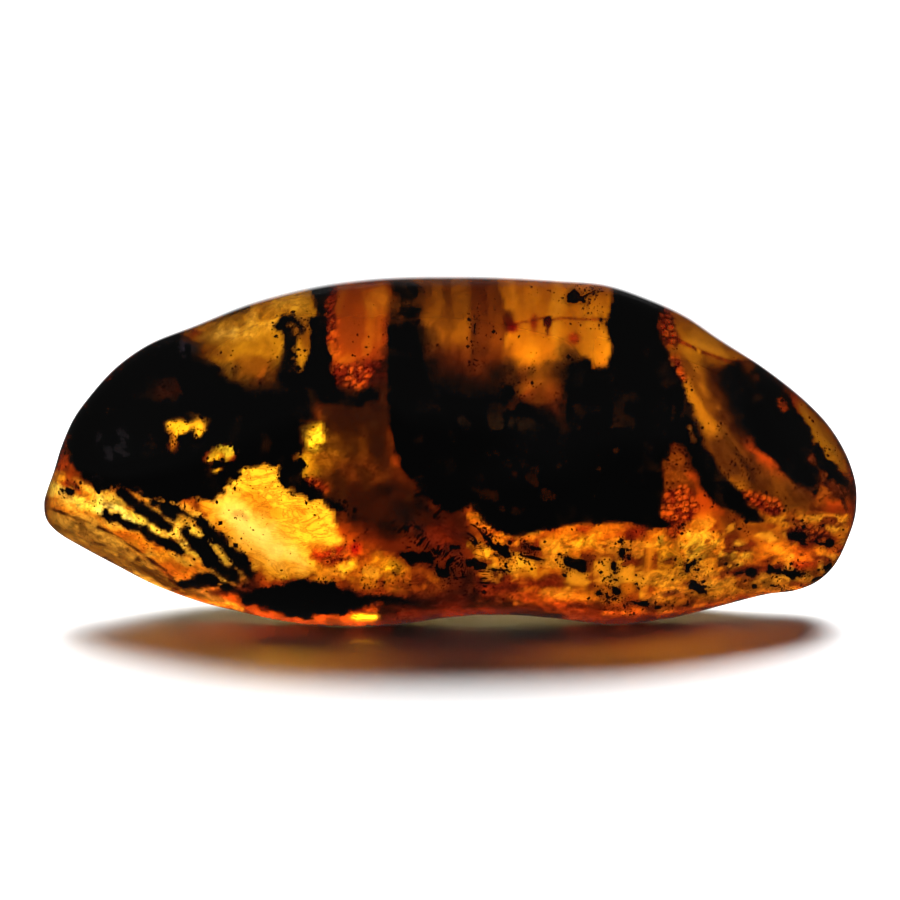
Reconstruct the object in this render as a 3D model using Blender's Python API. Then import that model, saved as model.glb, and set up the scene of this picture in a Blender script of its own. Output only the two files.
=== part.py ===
"""A polished amber pebble, a stone of clear natural resin with clouds of old plant debris sealed in it.

+Z is up, +X runs along the stone to its blunt end and -Y is the broad face seen first.
The stone is a loft of upright rounded rings strung along X between its two tips.
Soft polished hollows and creases are then pressed into the two broad faces.
The clear resin is parted in two, front and back, so that each cloud of debris lies in a pocket of its own.
The stone stands on the small worn flat spots of its underside, which both belong to the back half.
"""

import math
from collections import Counter

import bmesh
import bpy
import numpy as np
from mathutils import Vector, noise

MM = 0.001

# Driving dimensions, in millimetres
LENGTH = 92.0
HALF_LENGTH = LENGTH / 2
FRONT_DEPTH = 12.6
BACK_DEPTH = 11.8
SECTION_POWER = 2.9
BELLY_HEIGHT = 0.06

# How far the top slopes down towards the back, as a share of half the height
LEAN = 0.12

# Mesh fineness
STATIONS = 60
RING_POINTS = 36
SHARP_ANGLE = math.radians(35)

# Colours of the resin, with its gloss, and of the debris
AMBER = (0.62, 0.27, 0.03, 1.0)
DEBRIS = (0.02, 0.011, 0.004, 1.0)
DEBRIS_ROUGHNESS = 0.9
AMBER_ROUGHNESS = 0.06
AMBER_IOR = 1.54

# The skyline from the pointed end to the blunt end, as (x, z)
SKYLINE = (
    (-46.0, 12.3), (-45.4, 14.5), (-44.6, 16.6), (-43.6, 19.7), (-42.4, 22.5), (-40.4, 25.4),
    (-37.2, 28.9), (-34.0, 31.2), (-28.2, 33.7), (-21.4, 36.5), (-14.0, 38.4), (-6.0, 39.3),
    (1.0, 39.4), (12.0, 38.9), (17.0, 38.4), (21.5, 36.9), (26.0, 34.8), (29.5, 32.4),
    (35.0, 28.8), (39.6, 25.2), (42.6, 22.1), (44.6, 18.8), (45.6, 16.0), (46.0, 13.2),
)

# The underline between the same tips. It dips below zero where the stone is worn flat
UNDERLINE = (
    (-46.0, 12.3), (-45.7, 11.0), (-44.4, 9.5), (-41.7, 7.9), (-38.0, 6.0), (-33.0, 3.6),
    (-28.0, 2.0), (-22.5, 0.9), (-17.0, 0.0), (-11.5, -0.35), (-6.0, -0.1), (0.0, 0.8),
    (6.0, 1.1), (12.0, 0.6), (18.5, -0.25), (24.5, 0.3), (30.5, 1.5), (36.0, 2.5),
    (39.4, 2.6), (42.2, 3.6), (44.2, 6.0), (45.3, 9.3), (46.0, 13.2),
)

# Half the thickness along the stone, as a share of its greatest
FULLNESS = (
    (-46.0, 0.0), (-45.0, 0.25), (-43.0, 0.40), (-39.0, 0.57), (-33.0, 0.77), (-24.0, 0.94),
    (-12.0, 1.0), (6.0, 1.0), (18.0, 0.96), (28.0, 0.87), (36.0, 0.75), (42.0, 0.55),
    (45.0, 0.32), (46.0, 0.0),
)

# How far the stone's middle line wanders in Y along its length
SWAY = ((-46.0, 1.6), (-34.0, 0.9), (-16.0, -0.2), (6.0, -0.5), (26.0, 0.2), (46.0, 1.4))

# Broad planes ground by the polisher: the outward normal, and the plane's distance from the stone's middle
FACETS = (
    ((-0.46, -0.78, 0.42), 23.2),
    ((0.10, -0.90, 0.43), 15.8),
    ((0.52, -0.76, 0.38), 25.0),
    ((-0.30, -0.86, -0.42), 20.0),
    ((0.34, -0.84, -0.42), 21.6),
    ((-0.38, 0.82, 0.43), 20.8),
    ((0.16, 0.84, 0.52), 15.2),
    ((0.55, 0.80, 0.24), 27.0),
    ((-0.52, 0.80, -0.30), 28.2),
    ((0.20, 0.88, -0.43), 17.6),
)
FACET_CENTRE = (0.0, 0.0, 19.0)
FACET_SOFTNESS = 0.9

# Shallow polished hollows: face (-1 front, 1 back), x, z, half width, half height, depth
HOLLOWS = (
    (-1, -39.0, 21.0, 4.5, 5.0, 0.7),
    (-1, -19.0, 11.0, 8.0, 5.0, 0.7),
    (-1, -10.0, 33.5, 3.6, 5.5, 0.9),
    (-1, 10.0, 30.0, 6.0, 6.0, 0.5),
    (-1, 31.0, 20.0, 5.0, 8.0, 0.9),
    (-1, 14.0, 6.0, 8.0, 3.5, 0.6),
    (-1, 37.0, 8.5, 5.0, 2.6, 0.6),
    (1, -27.0, 22.0, 9.0, 8.0, 0.9),
    (1, 1.0, 14.0, 11.0, 7.0, 1.0),
    (1, 25.0, 24.0, 8.0, 7.0, 0.9),
    (1, -8.0, 32.0, 7.0, 5.0, 0.6),
)

# Creases: face, half width, depth, and the line that each one follows, as (x, z)
CREASES = (
    (-1, 1.3, 0.75, ((-7.2, 37.5), (-7.4, 30.0), (-6.8, 23.0), (-4.6, 15.6), (-2.0, 13.2), (2.0, 10.4))),
    (-1, 0.9, 0.60, ((1.6, 11.5), (2.4, 8.0), (2.8, 3.0), (3.2, -1.0))),
    (-1, 1.2, 0.60, ((23.5, 32.8), (26.0, 31.6), (30.0, 29.8), (35.5, 28.8))),
    (-1, 1.1, 0.50, ((-45.8, 12.8), (-40.0, 10.8), (-36.0, 8.3), (-32.0, 5.6), (-24.0, 1.8))),
    (-1, 2.0, 0.80, ((-45.5, 17.6), (-41.0, 15.6), (-36.0, 13.4), (-29.0, 12.6))),
    (-1, 1.1, 0.60, ((46.0, 7.2), (41.0, 5.8), (35.0, 5.2), (29.0, 4.8), (23.0, 3.6))),
    (-1, 1.4, 0.50, ((40.0, 16.0), (34.0, 21.0), (31.4, 27.5))),
    (1, 1.8, 0.80, ((-31.0, 33.5), (-25.0, 24.0), (-21.0, 12.0), (-23.0, 2.0))),
    (1, 1.6, 0.70, ((14.0, 38.0), (16.0, 26.0), (24.0, 14.0), (38.0, 6.0))),
    (1, 2.2, 0.70, ((-45.5, 17.2), (-39.0, 14.0), (-30.0, 12.0))),
)

# The slow unevenness that hand polishing leaves
WAVE_LENGTH = 11.0
WAVE_HEIGHT = 0.32

# The surface between the two halves of resin, as (x, y), the same at every height
PARTING = (
    (-52.0, 1.0), (-43.0, -0.6), (-39.0, -2.6), (-33.0, -4.6), (-24.0, -6.0), (18.0, -6.0),
    (28.0, -5.2), (36.0, -3.8), (42.0, -1.6), (52.0, 1.2),
)
GAP = 0.3

# The clouds of debris: the outline of each one on the parting surface, as (x, z)
CLOUDS = {
    "debris_left": (
        (-40.6, 20.4), (-39.4, 24.7), (-34.8, 29.3), (-29.9, 31.9), (-27.0, 30.0), (-20.9, 27.5),
        (-19.0, 28.2), (-18.3, 33.4), (-16.0, 33.2), (-14.9, 35.6), (-12.9, 35.6), (-12.6, 28.6),
        (-14.5, 25.6), (-15.6, 21.9), (-12.4, 15.6), (-15.0, 16.0), (-18.1, 17.9), (-21.5, 19.8),
        (-25.3, 16.8), (-31.6, 16.4), (-38.5, 17.3),
    ),
    "debris_middle": (
        (-6.3, 31.1), (-3.8, 33.2), (-1.5, 29.4), (5.0, 27.5), (10.1, 26.4), (12.8, 30.0), (17.1, 30.2),
        (17.9, 35.4), (21.5, 35.1), (22.8, 31.2), (27.8, 22.7), (33.3, 15.0), (28.0, 15.2),
        (24.8, 20.2), (23.2, 18.5), (21.5, 13.3), (6.3, 12.6), (-2.1, 16.2), (-5.7, 21.7),
    ),
    "debris_right": (
        (30.3, 28.4), (32.6, 22.8), (37.9, 17.5), (39.2, 20.8), (36.6, 26.2), (33.3, 28.9),
    ),
    "debris_foot": (
        (-30.1, 12.8), (-26.7, 12.0), (-22.8, 8.3), (-15.2, 7.7), (-8.6, 6.4), (-8.9, 4.2),
        (-16.2, 3.6), (-22.8, 5.0), (-27.2, 7.4),
    ),
}
CLOUD_THICKNESS = 1.9
CLOUD_ROUNDING = 1.6

# The grid that the parting surface and the pockets are drawn on, and the blocks that part the stone
GRID_CELL = 1.9
GRID_LOW = (-49.4, -1.9)
GRID_CELLS = (52, 23)
LEAST_STEEP = 0.5
MOST_SLIDE = 0.5
NECK_DEPTH = 0.8
CUTTER_REACH = 30.0


def smooth_curve(points, at):
    """Values at `at` on the smooth curve through (x, value) points, with slopes that never overshoot."""
    x, v = (np.array(c, float) for c in zip(*points))
    step, rise = np.diff(x), np.diff(v)
    slope = rise / step
    inner = np.where(
        slope[:-1] * slope[1:] > 0,
        (slope[:-1] * step[1:] + slope[1:] * step[:-1]) / (step[:-1] + step[1:]),
        0.0,
    )
    tangent = np.concatenate([slope[:1], inner, slope[-1:]])
    i = np.clip(np.searchsorted(x, at) - 1, 0, len(step) - 1)
    t = (at - x[i]) / step[i]
    return (
        v[i] * (1 + 2 * t) * (1 - t) ** 2
        + tangent[i] * step[i] * t * (1 - t) ** 2
        + v[i + 1] * t * t * (3 - 2 * t)
        - tangent[i + 1] * step[i] * t * t * (1 - t)
    )


def turn_of(x):
    """The angle that stands for x, 0 at the pointed tip and pi at the blunt one, so that both come out round."""
    return np.arccos(np.clip(-np.asarray(x, float) / HALF_LENGTH, -1, 1))


def along(points, turn):
    """Reads a table of (x, value) points at the stations' angles."""
    return smooth_curve([(float(turn_of(x)), value) for x, value in points], turn)


def distance_to_line(x, z, line):
    """How far each point lies from a line of (x, z) points."""
    nearest = np.full(np.shape(x), np.inf)
    for (ax, az), (bx, bz) in zip(line, line[1:]):
        dx, dz = bx - ax, bz - az
        share = np.clip(((x - ax) * dx + (z - az) * dz) / (dx * dx + dz * dz), 0, 1)
        nearest = np.minimum(nearest, np.hypot(x - ax - share * dx, z - az - share * dz))
    return nearest


def pressed_in(x, z, face):
    """How far the hollows and creases of one face (-1 front, 1 back) push a point in, in millimetres."""
    push = np.zeros(np.shape(x))
    for side, cx, cz, wide, high, depth in HOLLOWS:
        away = ((x - cx) / wide) ** 2 + ((z - cz) / high) ** 2
        push += np.where(side == face, depth * np.exp(-away), 0)
    for side, half_width, depth, line in CREASES:
        away = (distance_to_line(x, z, line) / half_width) ** 2
        push += np.where(side == face, depth * np.exp(-away), 0)
    return push


def ground_flat(points):
    """Presses what stands proud of each facet's plane back to it, with a soft edge."""
    for normal, reach in FACETS:
        normal = np.array(normal) / np.linalg.norm(normal)
        proud = (points - FACET_CENTRE) @ normal - reach
        pressed = FACET_SOFTNESS * np.logaddexp(0, proud / FACET_SOFTNESS)
        points = points - pressed[..., None] * normal
    return points


def unevenness(points):
    """Slow waves of a hand-polished surface, from -1 to 1 at each point."""
    flat = (points / WAVE_LENGTH).reshape(-1, 3)
    return np.array([noise.noise(Vector(p)) for p in flat]).reshape(points.shape[:-1])


def rings():
    """The loft's rings, tip to tip, as an array of rings by ring points by (x, y, z), in millimetres."""
    turn = np.linspace(0, math.pi, STATIONS + 1)[:, None]
    top, bottom = along(SKYLINE, turn), along(UNDERLINE, turn)
    middle, half_height = (top + bottom) / 2, (top - bottom) / 2
    fullness = along(FULLNESS, turn)

    angle = np.linspace(0, 2 * math.pi, RING_POINTS, endpoint=False)[None, :]
    out, up = -np.cos(angle), np.sin(angle)
    out = np.sign(out) * np.abs(out) ** (2 / SECTION_POWER)
    up = np.sign(up) * np.abs(up) ** (2 / SECTION_POWER)
    depth = np.where(out < 0, FRONT_DEPTH, BACK_DEPTH) * fullness
    y = out * depth * (1 - BELLY_HEIGHT * up)
    sloped = up * (1 - LEAN * (1 + out))
    z = middle + half_height * np.where(up > 0, sloped / sloped.max(), up)
    x = np.broadcast_to(-HALF_LENGTH * np.cos(turn), y.shape)

    points = ground_flat(np.stack([x, y, z], axis=-1))
    x, y, z = points[..., 0], points[..., 1], points[..., 2]
    relief = pressed_in(x, z, np.sign(out)) - WAVE_HEIGHT * unevenness(points)
    y = y - relief * out * np.sqrt(fullness) + along(SWAY, turn)
    return np.stack([x, y, z], axis=-1)


def within(x, z, outline):
    """How far inside an outline each point lies, negative outside."""
    closed = outline + outline[:1]
    inside = np.zeros(np.shape(x), bool)
    for (ax, az), (bx, bz) in zip(closed, closed[1:]):
        crosses = (az > z) != (bz > z)
        inside ^= crosses & (x < ax + (z - az) * (bx - ax) / (bz - az if bz != az else 1))
    away = distance_to_line(x, z, closed)
    return np.where(inside, away, -away)


def grid_triangles():
    """Every triangle of the grid, as three grid places. Cells are split along turns of the two diagonals."""
    faces = []
    for i in range(GRID_CELLS[0]):
        for j in range(GRID_CELLS[1]):
            a, b, c, d = (i, j), (i + 1, j), (i + 1, j + 1), (i, j + 1)
            faces += [(a, b, c), (a, c, d)] if (i + j) % 2 else [(a, b, d), (b, c, d)]
    return faces


def widen_necks(depth, faces):
    """Deepens the points where two parts of a cloud would only touch, so that its rim is one plain loop."""
    touching = True
    while touching:
        inside = [face for face in faces if max(depth[place] for place in face) > 0]
        sides = Counter(frozenset((face[k], face[k - 1])) for face in inside for k in range(3))
        rim = Counter(place for side, count in sides.items() if count == 1 for place in side)
        touching = {place for place, count in rim.items() if count > 2}
        shallow = [side for side, count in sides.items() if max(depth[place] for place in side) <= 0 < count - 1]
        touching |= {min(side) for side in shallow}
        for place in touching:
            depth[place] = NECK_DEPTH


def parting_grid():
    """The grid on the parting surface: its points' x, y and z, how far inside a cloud each lies, its triangles."""
    steps = (low + GRID_CELL * np.arange(cells + 1) for low, cells in zip(GRID_LOW, GRID_CELLS))
    x, z = np.meshgrid(*steps, indexing="ij")
    depth = np.max([within(x, z, outline) for outline in CLOUDS.values()], axis=0)
    along_x, along_z = np.gradient(depth, GRID_CELL)
    steep = np.maximum(along_x ** 2 + along_z ** 2, LEAST_STEEP)
    slide = np.where(np.abs(depth) < GRID_CELL / 2, -depth / steep, 0)
    x += np.clip(slide * along_x, -MOST_SLIDE, MOST_SLIDE)
    z += np.clip(slide * along_z, -MOST_SLIDE, MOST_SLIDE)
    depth[slide != 0] = 0
    faces = grid_triangles()
    widen_necks(depth, faces)
    return x, np.interp(x, *zip(*PARTING)), z, depth, faces


def bulge(depth):
    """How far a pocket's wall stands off the parting surface."""
    return CLOUD_THICKNESS * (1 - np.exp(-np.maximum(depth, 0) / CLOUD_ROUNDING))


def cloud_mesh(name):
    """One cloud: two bulging sheets that meet in a sharp rim, a gap inside its pocket."""
    x, y, z, depth, faces = parting_grid()
    own = within(x, z, CLOUDS[name]) > -GRID_CELL
    stand_off = np.where(own, np.maximum(bulge(depth) - GAP / 2, 0), 0)
    faces = [face for face in faces if any(stand_off[place] > 0 for place in face)]
    bm = bmesh.new()
    sheets = []
    for side in (-1, 1):
        sheet = dict(sheets[0]) if sheets else {}
        for place in sorted({place for face in faces for place in face}):
            if stand_off[place] > 0 or place not in sheet:
                point = Vector((x[place], y[place] + side * stand_off[place], z[place]))
                sheet[place] = bm.verts.new(point * MM)
        sheets.append(sheet)
    for face in faces:
        bm.faces.new([sheets[0][place] for place in face])
        bm.faces.new([sheets[1][place] for place in reversed(face)])
    bmesh.ops.recalc_face_normals(bm, faces=bm.faces)
    mesh = bpy.data.meshes.new(name)
    bm.to_mesh(mesh)
    bm.free()
    return mesh


def cutter_mesh(side):
    """A block of all that lies to one side (-1 front, 1 back) of the parting surface and the pockets' walls."""
    x, y, z, depth, faces = parting_grid()
    wall = y - side * (bulge(depth) + GAP / 2)
    bm = bmesh.new()
    near = {}
    for place in np.ndindex(x.shape):
        near[place] = bm.verts.new(Vector((x[place], wall[place], z[place])) * MM)
    for face in faces:
        bm.faces.new([near[place] for place in face])
    rim = [e for e in bm.edges if e.is_boundary]
    drawn = bmesh.ops.extrude_edge_only(bm, edges=rim)["geom"]
    for vert in [v for v in drawn if isinstance(v, bmesh.types.BMVert)]:
        vert.co.y = side * CUTTER_REACH * MM
    bmesh.ops.holes_fill(bm, edges=[e for e in bm.edges if e.is_boundary])
    bmesh.ops.triangulate(bm, faces=bm.faces)
    bmesh.ops.recalc_face_normals(bm, faces=bm.faces)
    mesh = bpy.data.meshes.new("cutter")
    bm.to_mesh(mesh)
    bm.free()
    return mesh


def stone_mesh():
    """The stone as one closed mesh in metres, cut level where it is worn flat underneath."""
    grid = rings()
    bm = bmesh.new()
    ring_verts = [[bm.verts.new(point * MM) for point in ring] for ring in grid[1:-1]]
    first, last = (bm.verts.new(ring.mean(axis=0) * MM) for ring in (grid[0], grid[-1]))
    for i in range(RING_POINTS):
        j = (i + 1) % RING_POINTS
        bm.faces.new((first, ring_verts[0][i], ring_verts[0][j]))
        bm.faces.new((last, ring_verts[-1][j], ring_verts[-1][i]))
        for near, far in zip(ring_verts, ring_verts[1:]):
            bm.faces.new((near[i], far[i], far[j], near[j]))
    bmesh.ops.recalc_face_normals(bm, faces=bm.faces)

    cut = bmesh.ops.bisect_plane(
        bm, geom=bm.verts[:] + bm.edges[:] + bm.faces[:],
        plane_co=(0, 0, 0), plane_no=(0, 0, -1), clear_outer=True, dist=1e-7,
    )
    rim = [e for e in cut["geom_cut"] if isinstance(e, bmesh.types.BMEdge)]
    bmesh.ops.contextual_create(bm, geom=rim)
    open_rim = [e for e in bm.edges if e.is_boundary]
    if open_rim:
        bmesh.ops.holes_fill(bm, edges=open_rim)
    bmesh.ops.recalc_face_normals(bm, faces=bm.faces)

    corners = np.array([v.co for v in bm.verts])
    centre = (corners.min(axis=0) + corners.max(axis=0)) / 2
    bmesh.ops.translate(bm, verts=bm.verts, vec=(-centre[0], -centre[1], 0))
    mesh = bpy.data.meshes.new("amber_pebble")
    bm.to_mesh(mesh)
    bm.free()
    return mesh


def amber_material():
    """Clear golden resin with a polished surface."""
    material = bpy.data.materials.new("amber")
    material.use_nodes = True
    shader = material.node_tree.nodes["Principled BSDF"]
    shader.inputs["Base Color"].default_value = AMBER
    shader.inputs["Roughness"].default_value = AMBER_ROUGHNESS
    shader.inputs["IOR"].default_value = AMBER_IOR
    shader.inputs["Transmission Weight"].default_value = 0.8
    return material


def debris_material():
    """Matt black-brown plant debris."""
    material = bpy.data.materials.new("plant_debris")
    material.use_nodes = True
    shader = material.node_tree.nodes["Principled BSDF"]
    shader.inputs["Base Color"].default_value = DEBRIS
    shader.inputs["Roughness"].default_value = DEBRIS_ROUGHNESS
    return material


def add_object(name, mesh):
    piece = bpy.data.objects.new(name, mesh)
    bpy.context.scene.collection.objects.link(piece)
    return piece


def add_half(name, stone, side, material):
    """One half of the resin: the stone less a block that holds the other half and the pockets."""
    mesh = stone.copy()
    mesh.materials.append(material)
    half = add_object(name, mesh)
    cutter = add_object(name + "_cutter", cutter_mesh(-side))
    cutter.hide_render = True
    cutter.display_type = "WIRE"
    cut = half.modifiers.new("parting", "BOOLEAN")
    cut.operation = "DIFFERENCE"
    cut.solver = "MANIFOLD"
    cut.object = cutter


def build():
    """Clears the scene and adds the resin's two halves and the clouds of debris between them."""
    for obj in list(bpy.data.objects):
        bpy.data.objects.remove(obj)
    stone = stone_mesh()
    stone.shade_smooth()
    stone.set_sharp_from_angle(angle=SHARP_ANGLE)
    resin = amber_material()
    add_half("amber_front", stone, -1, resin)
    add_half("amber_back", stone, 1, resin)
    debris = debris_material()
    for name in CLOUDS:
        mesh = cloud_mesh(name)
        mesh.materials.append(debris)
        mesh.shade_smooth()
        add_object(name, mesh)


build()
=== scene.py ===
"""The looks of the polished amber pebble: clear resin, the debris sealed in it, the floor, the light and the camera."""

import math

import bmesh
import bpy
import numpy as np
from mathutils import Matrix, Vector, noise
from mathutils.bvhtree import BVHTree


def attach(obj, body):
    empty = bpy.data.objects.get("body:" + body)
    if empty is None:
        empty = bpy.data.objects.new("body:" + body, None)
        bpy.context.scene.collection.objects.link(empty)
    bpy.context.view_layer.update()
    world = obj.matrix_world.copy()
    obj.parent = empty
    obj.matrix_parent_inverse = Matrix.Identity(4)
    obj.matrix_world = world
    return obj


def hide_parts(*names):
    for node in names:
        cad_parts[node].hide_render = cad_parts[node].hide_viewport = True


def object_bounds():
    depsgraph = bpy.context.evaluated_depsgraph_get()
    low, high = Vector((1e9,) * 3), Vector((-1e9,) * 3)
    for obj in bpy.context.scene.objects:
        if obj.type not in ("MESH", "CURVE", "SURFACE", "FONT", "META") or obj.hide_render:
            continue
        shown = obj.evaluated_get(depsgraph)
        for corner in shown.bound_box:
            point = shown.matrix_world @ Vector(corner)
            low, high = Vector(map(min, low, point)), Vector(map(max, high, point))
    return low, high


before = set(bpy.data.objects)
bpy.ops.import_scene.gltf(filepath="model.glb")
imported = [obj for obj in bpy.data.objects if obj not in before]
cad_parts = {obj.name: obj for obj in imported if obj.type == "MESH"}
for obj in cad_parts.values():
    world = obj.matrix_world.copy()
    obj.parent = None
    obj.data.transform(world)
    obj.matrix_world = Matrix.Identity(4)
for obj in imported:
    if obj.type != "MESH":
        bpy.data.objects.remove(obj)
cad_box = [list(corner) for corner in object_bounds()]

MM = 0.001

# Camera, in metres and radians, found from the outline in the photograph
CAMERA_LENS = 100.0
SENSOR = 36.0
CAMERA_ELEVATION = math.radians(12)
CAMERA_DISTANCE = 0.2795
CAMERA_TARGET = Vector((0, 0, 0.0193))

# The photograph in pixels: its width, a millimetre on the stone, the lens's length, and the place under its middle
PHOTO_WIDTH = 900
PIXELS_PER_MM = 815 / 92
FOCAL_PIXELS = CAMERA_LENS / SENSOR * PHOTO_WIDTH
PHOTO_ORIGIN = (449.5, 622.0)

# The stone's form, in millimetres, as the solid in the frame has it
HALF_LENGTH = 46.0
FRONT_DEPTH = 12.6
BACK_DEPTH = 11.8
SECTION_POWER = 2.9
BELLY_HEIGHT = 0.06
LEAN = 0.12
SKYLINE = (
    (-46, 12.3), (-45.4, 14.5), (-44.6, 16.6), (-43.6, 19.7), (-42.4, 22.5), (-40.4, 25.4),
    (-37.2, 28.9), (-34, 31.2), (-28.2, 33.7), (-21.4, 36.5), (-14, 38.4), (-6, 39.3),
    (1, 39.4), (12, 38.9), (17, 38.4), (21.5, 36.9), (26, 34.8), (29.5, 32.4),
    (35, 28.8), (39.6, 25.2), (42.6, 22.1), (44.6, 18.8), (45.6, 16), (46, 13.2),
)
UNDERLINE = (
    (-46, 12.3), (-45.7, 11), (-44.4, 9.5), (-41.7, 7.9), (-38, 6), (-33, 3.6),
    (-28, 2), (-22.5, 0.9), (-17, 0), (-11.5, -0.35), (-6, -0.1), (0, 0.8),
    (6, 1.1), (12, 0.6), (18.5, -0.25), (24.5, 0.3), (30.5, 1.5), (36, 2.5),
    (39.4, 2.6), (42.2, 3.6), (44.2, 6), (45.3, 9.3), (46, 13.2),
)
FULLNESS = (
    (-46, 0), (-45, 0.25), (-43, 0.40), (-39, 0.57), (-33, 0.77), (-24, 0.94),
    (-12, 1), (6, 1), (18, 0.96), (28, 0.87), (36, 0.75), (42, 0.55),
    (45, 0.32), (46, 0),
)
SWAY = ((-46, 1.6), (-34, 0.9), (-16, -0.2), (6, -0.5), (26, 0.2), (46, 1.4))

# Broad ground planes: the way each one faces, and how far it lies from the centre that they share
FACETS = (
    ((-0.46, -0.78, 0.42), 23.2),
    ((0.10, -0.90, 0.43), 15.8),
    ((0.52, -0.76, 0.38), 25),
    ((-0.30, -0.86, -0.42), 20),
    ((0.34, -0.84, -0.42), 21.6),
    ((-0.38, 0.82, 0.43), 20.8),
    ((0.16, 0.84, 0.52), 15.2),
    ((0.55, 0.80, 0.24), 27),
    ((-0.52, 0.80, -0.30), 28.2),
    ((0.20, 0.88, -0.43), 17.6),
)
FACET_CENTRE = (0, 0, 19)
FACET_SOFTNESS = 0.9

# Hollows: face (-1 front, 1 back), x, z, width, height and depth; creases: face, half width, depth and path
HOLLOWS = (
    (-1, -39, 21, 4.5, 5, 0.7),
    (-1, -19, 11, 8, 5, 0.7),
    (-1, -10, 33.5, 3.6, 5.5, 0.9),
    (-1, 10, 30, 6, 6, 0.5),
    (-1, 31, 20, 5, 8, 0.9),
    (-1, 14, 6, 8, 3.5, 0.6),
    (-1, 37, 8.5, 5, 2.6, 0.6),
    (1, -27, 22, 9, 8, 0.9),
    (1, 1, 14, 11, 7, 1),
    (1, 25, 24, 8, 7, 0.9),
    (1, -8, 32, 7, 5, 0.6),
)
CREASES = (
    (-1, 1.3, 0.75, ((-7.2, 37.5), (-7.4, 30), (-6.8, 23), (-4.6, 15.6), (-2, 13.2), (2, 10.4))),
    (-1, 0.9, 0.60, ((1.6, 11.5), (2.4, 8), (2.8, 3), (3.2, -1))),
    (-1, 1.2, 0.60, ((23.5, 32.8), (26, 31.6), (30, 29.8), (35.5, 28.8))),
    (-1, 1.1, 0.50, ((-45.8, 12.8), (-40, 10.8), (-36, 8.3), (-32, 5.6), (-24, 1.8))),
    (-1, 2, 0.80, ((-45.5, 17.6), (-41, 15.6), (-36, 13.4), (-29, 12.6))),
    (-1, 1.1, 0.60, ((46, 7.2), (41, 5.8), (35, 5.2), (29, 4.8), (23, 3.6))),
    (-1, 1.4, 0.50, ((40, 16), (34, 21), (31.4, 27.5))),
    (1, 1.8, 0.80, ((-31, 33.5), (-25, 24), (-21, 12), (-23, 2))),
    (1, 1.6, 0.70, ((14, 38), (16, 26), (24, 14), (38, 6))),
    (1, 2.2, 0.70, ((-45.5, 17.2), (-39, 14), (-30, 12))),
)

# Slow waves of the hand-polished surface
WAVE_LENGTH = 11.0
WAVE_HEIGHT = 0.32

# The surface that the debris lies on, as (x, y)
PARTING = (
    (-52, 1), (-43, -0.6), (-39, -2.6), (-33, -4.6), (-24, -6), (18, -6),
    (28, -5.2), (36, -3.8), (42, -1.6), (52, 1.2),
)

# Fineness of the polished surface
STATIONS = 396
RING_POINTS = 250
FRONT_FINENESS = 5.0
FRONT_END = math.pi / 2 + 0.22
RING_HALF_DEPTH, RING_HALF_HEIGHT = 12.0, 19.0
END_CROWDING = 0.85

# Lights behind the stone: name, strength, width, tilt and turn in degrees, and whether the resin shows the disc
SUNS = (
    ("soft_rear_light", 6.5, 52.0, 41.0, -5.0, False),
    ("bright_rear_light", 7.5, 46.0, 41.0, 7.0, True),
)

# The surround: where its bright rear wall begins and ends in depth and height, and how bright it is for each ray
WALL_DEPTH = (0.80, 0.98)
WALL_RISE = (-0.1, 0.05)
WALL_GLOW = (0.01, 1.6)
FAINT_GLOW = 0.02

# The floor, in metres, a hair below the stone
FLOOR_HALF, FLOOR_LEVEL = 4.0, -0.00005
FLOOR_COLOUR = (0.86, 0.86, 0.86, 1)
FLOOR_ROUGHNESS = 0.7

# The clear resin: polished in front, finely ground at the back
AMBER_IOR = 1.54
ABSORPTION_DENSITY = 48.0
ABSORPTION_COLOUR = (0.964, 0.807, 0.05, 1.0)
POLISH, GRINDING = 0.04, 0.4
GROUND_FROM, GROUND_TO = -0.05, -0.6
COAT_ROUGHNESS = 0.03

# From a colour as seen to a tint: the clear resin's own colour, and powers that make up for the shader's square root
CLEAR_TINT = (0.91, 0.76, 0.40)
TINT_POWER = (2.7, 2.95, 3.3)
REAR_TINT = (255, 250, 235)
TINT_FROM, TINT_TO = -0.62, -0.12


def pairs(flat):
    """(x, z) points from x, z, x, z and so on."""
    return list(zip(flat[::2], flat[1::2]))


def area(*flat):
    """An outline given as x, z, x, z and so on, in millimetres on the photograph's plane."""
    return "area", pairs(flat)


def line(half_width, *flat):
    """A stroke of that half width along x, z, x, z and so on."""
    return "line", half_width, pairs(flat)


def spot(x, z, wide, high, turn=0):
    """An oval with those half axes, turned by those degrees."""
    return "spot", x, z, wide, high, turn


# Colours as the eye sees them, 0 to 255
YELLOW = (255, 216, 78)
BRIGHT = (248, 188, 46)
GOLD = (214, 148, 34)
HAZE = (180, 132, 34)
OCHRE = (132, 86, 14)
ORANGE = (205, 112, 16)
DEEP_ORANGE = (168, 78, 10)
RUST = (128, 40, 8)
RED = (168, 34, 12)
BROWN = (92, 46, 6)
DARK_BROWN = (48, 23, 5)
OLIVE = (128, 98, 26)
OLIVE_BROWN = (76, 52, 10)
BLACK = (13, 10, 8)
PEACH = (158, 82, 18)

# Grains: size, direction in degrees, how drawn out, and how much grit, mottle and folds the material adds
CLOUD = (2.6, 0.0, 1.0, (0.2, 0.1, 0.0))
FINE = (1.5, 0.0, 1.0, (0.6, 0.6, 0.0))
TINY = (1.0, 0.0, 1.0, (0.7, 0.85, 0.0))
COLUMN = (1.2, 90.0, 4.5, (0.12, 0.05, 0.0))
FOLDED = (2.2, -42.0, 2.2, (0.25, 0.0, 1.0))
POOL = (2.6, -42.0, 2.0, (0.2, 0.0, 0.3))
FLOW = (1.4, -58.0, 4.0, (0.2, 0.1, 0.0))
LIP = (1.2, -28.0, 3.0, (0.7, 0.6, 0.3))
FLAT_STREAK = (1.0, -4.0, 4.0, (0.7, 0.7, 0.0))

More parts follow.
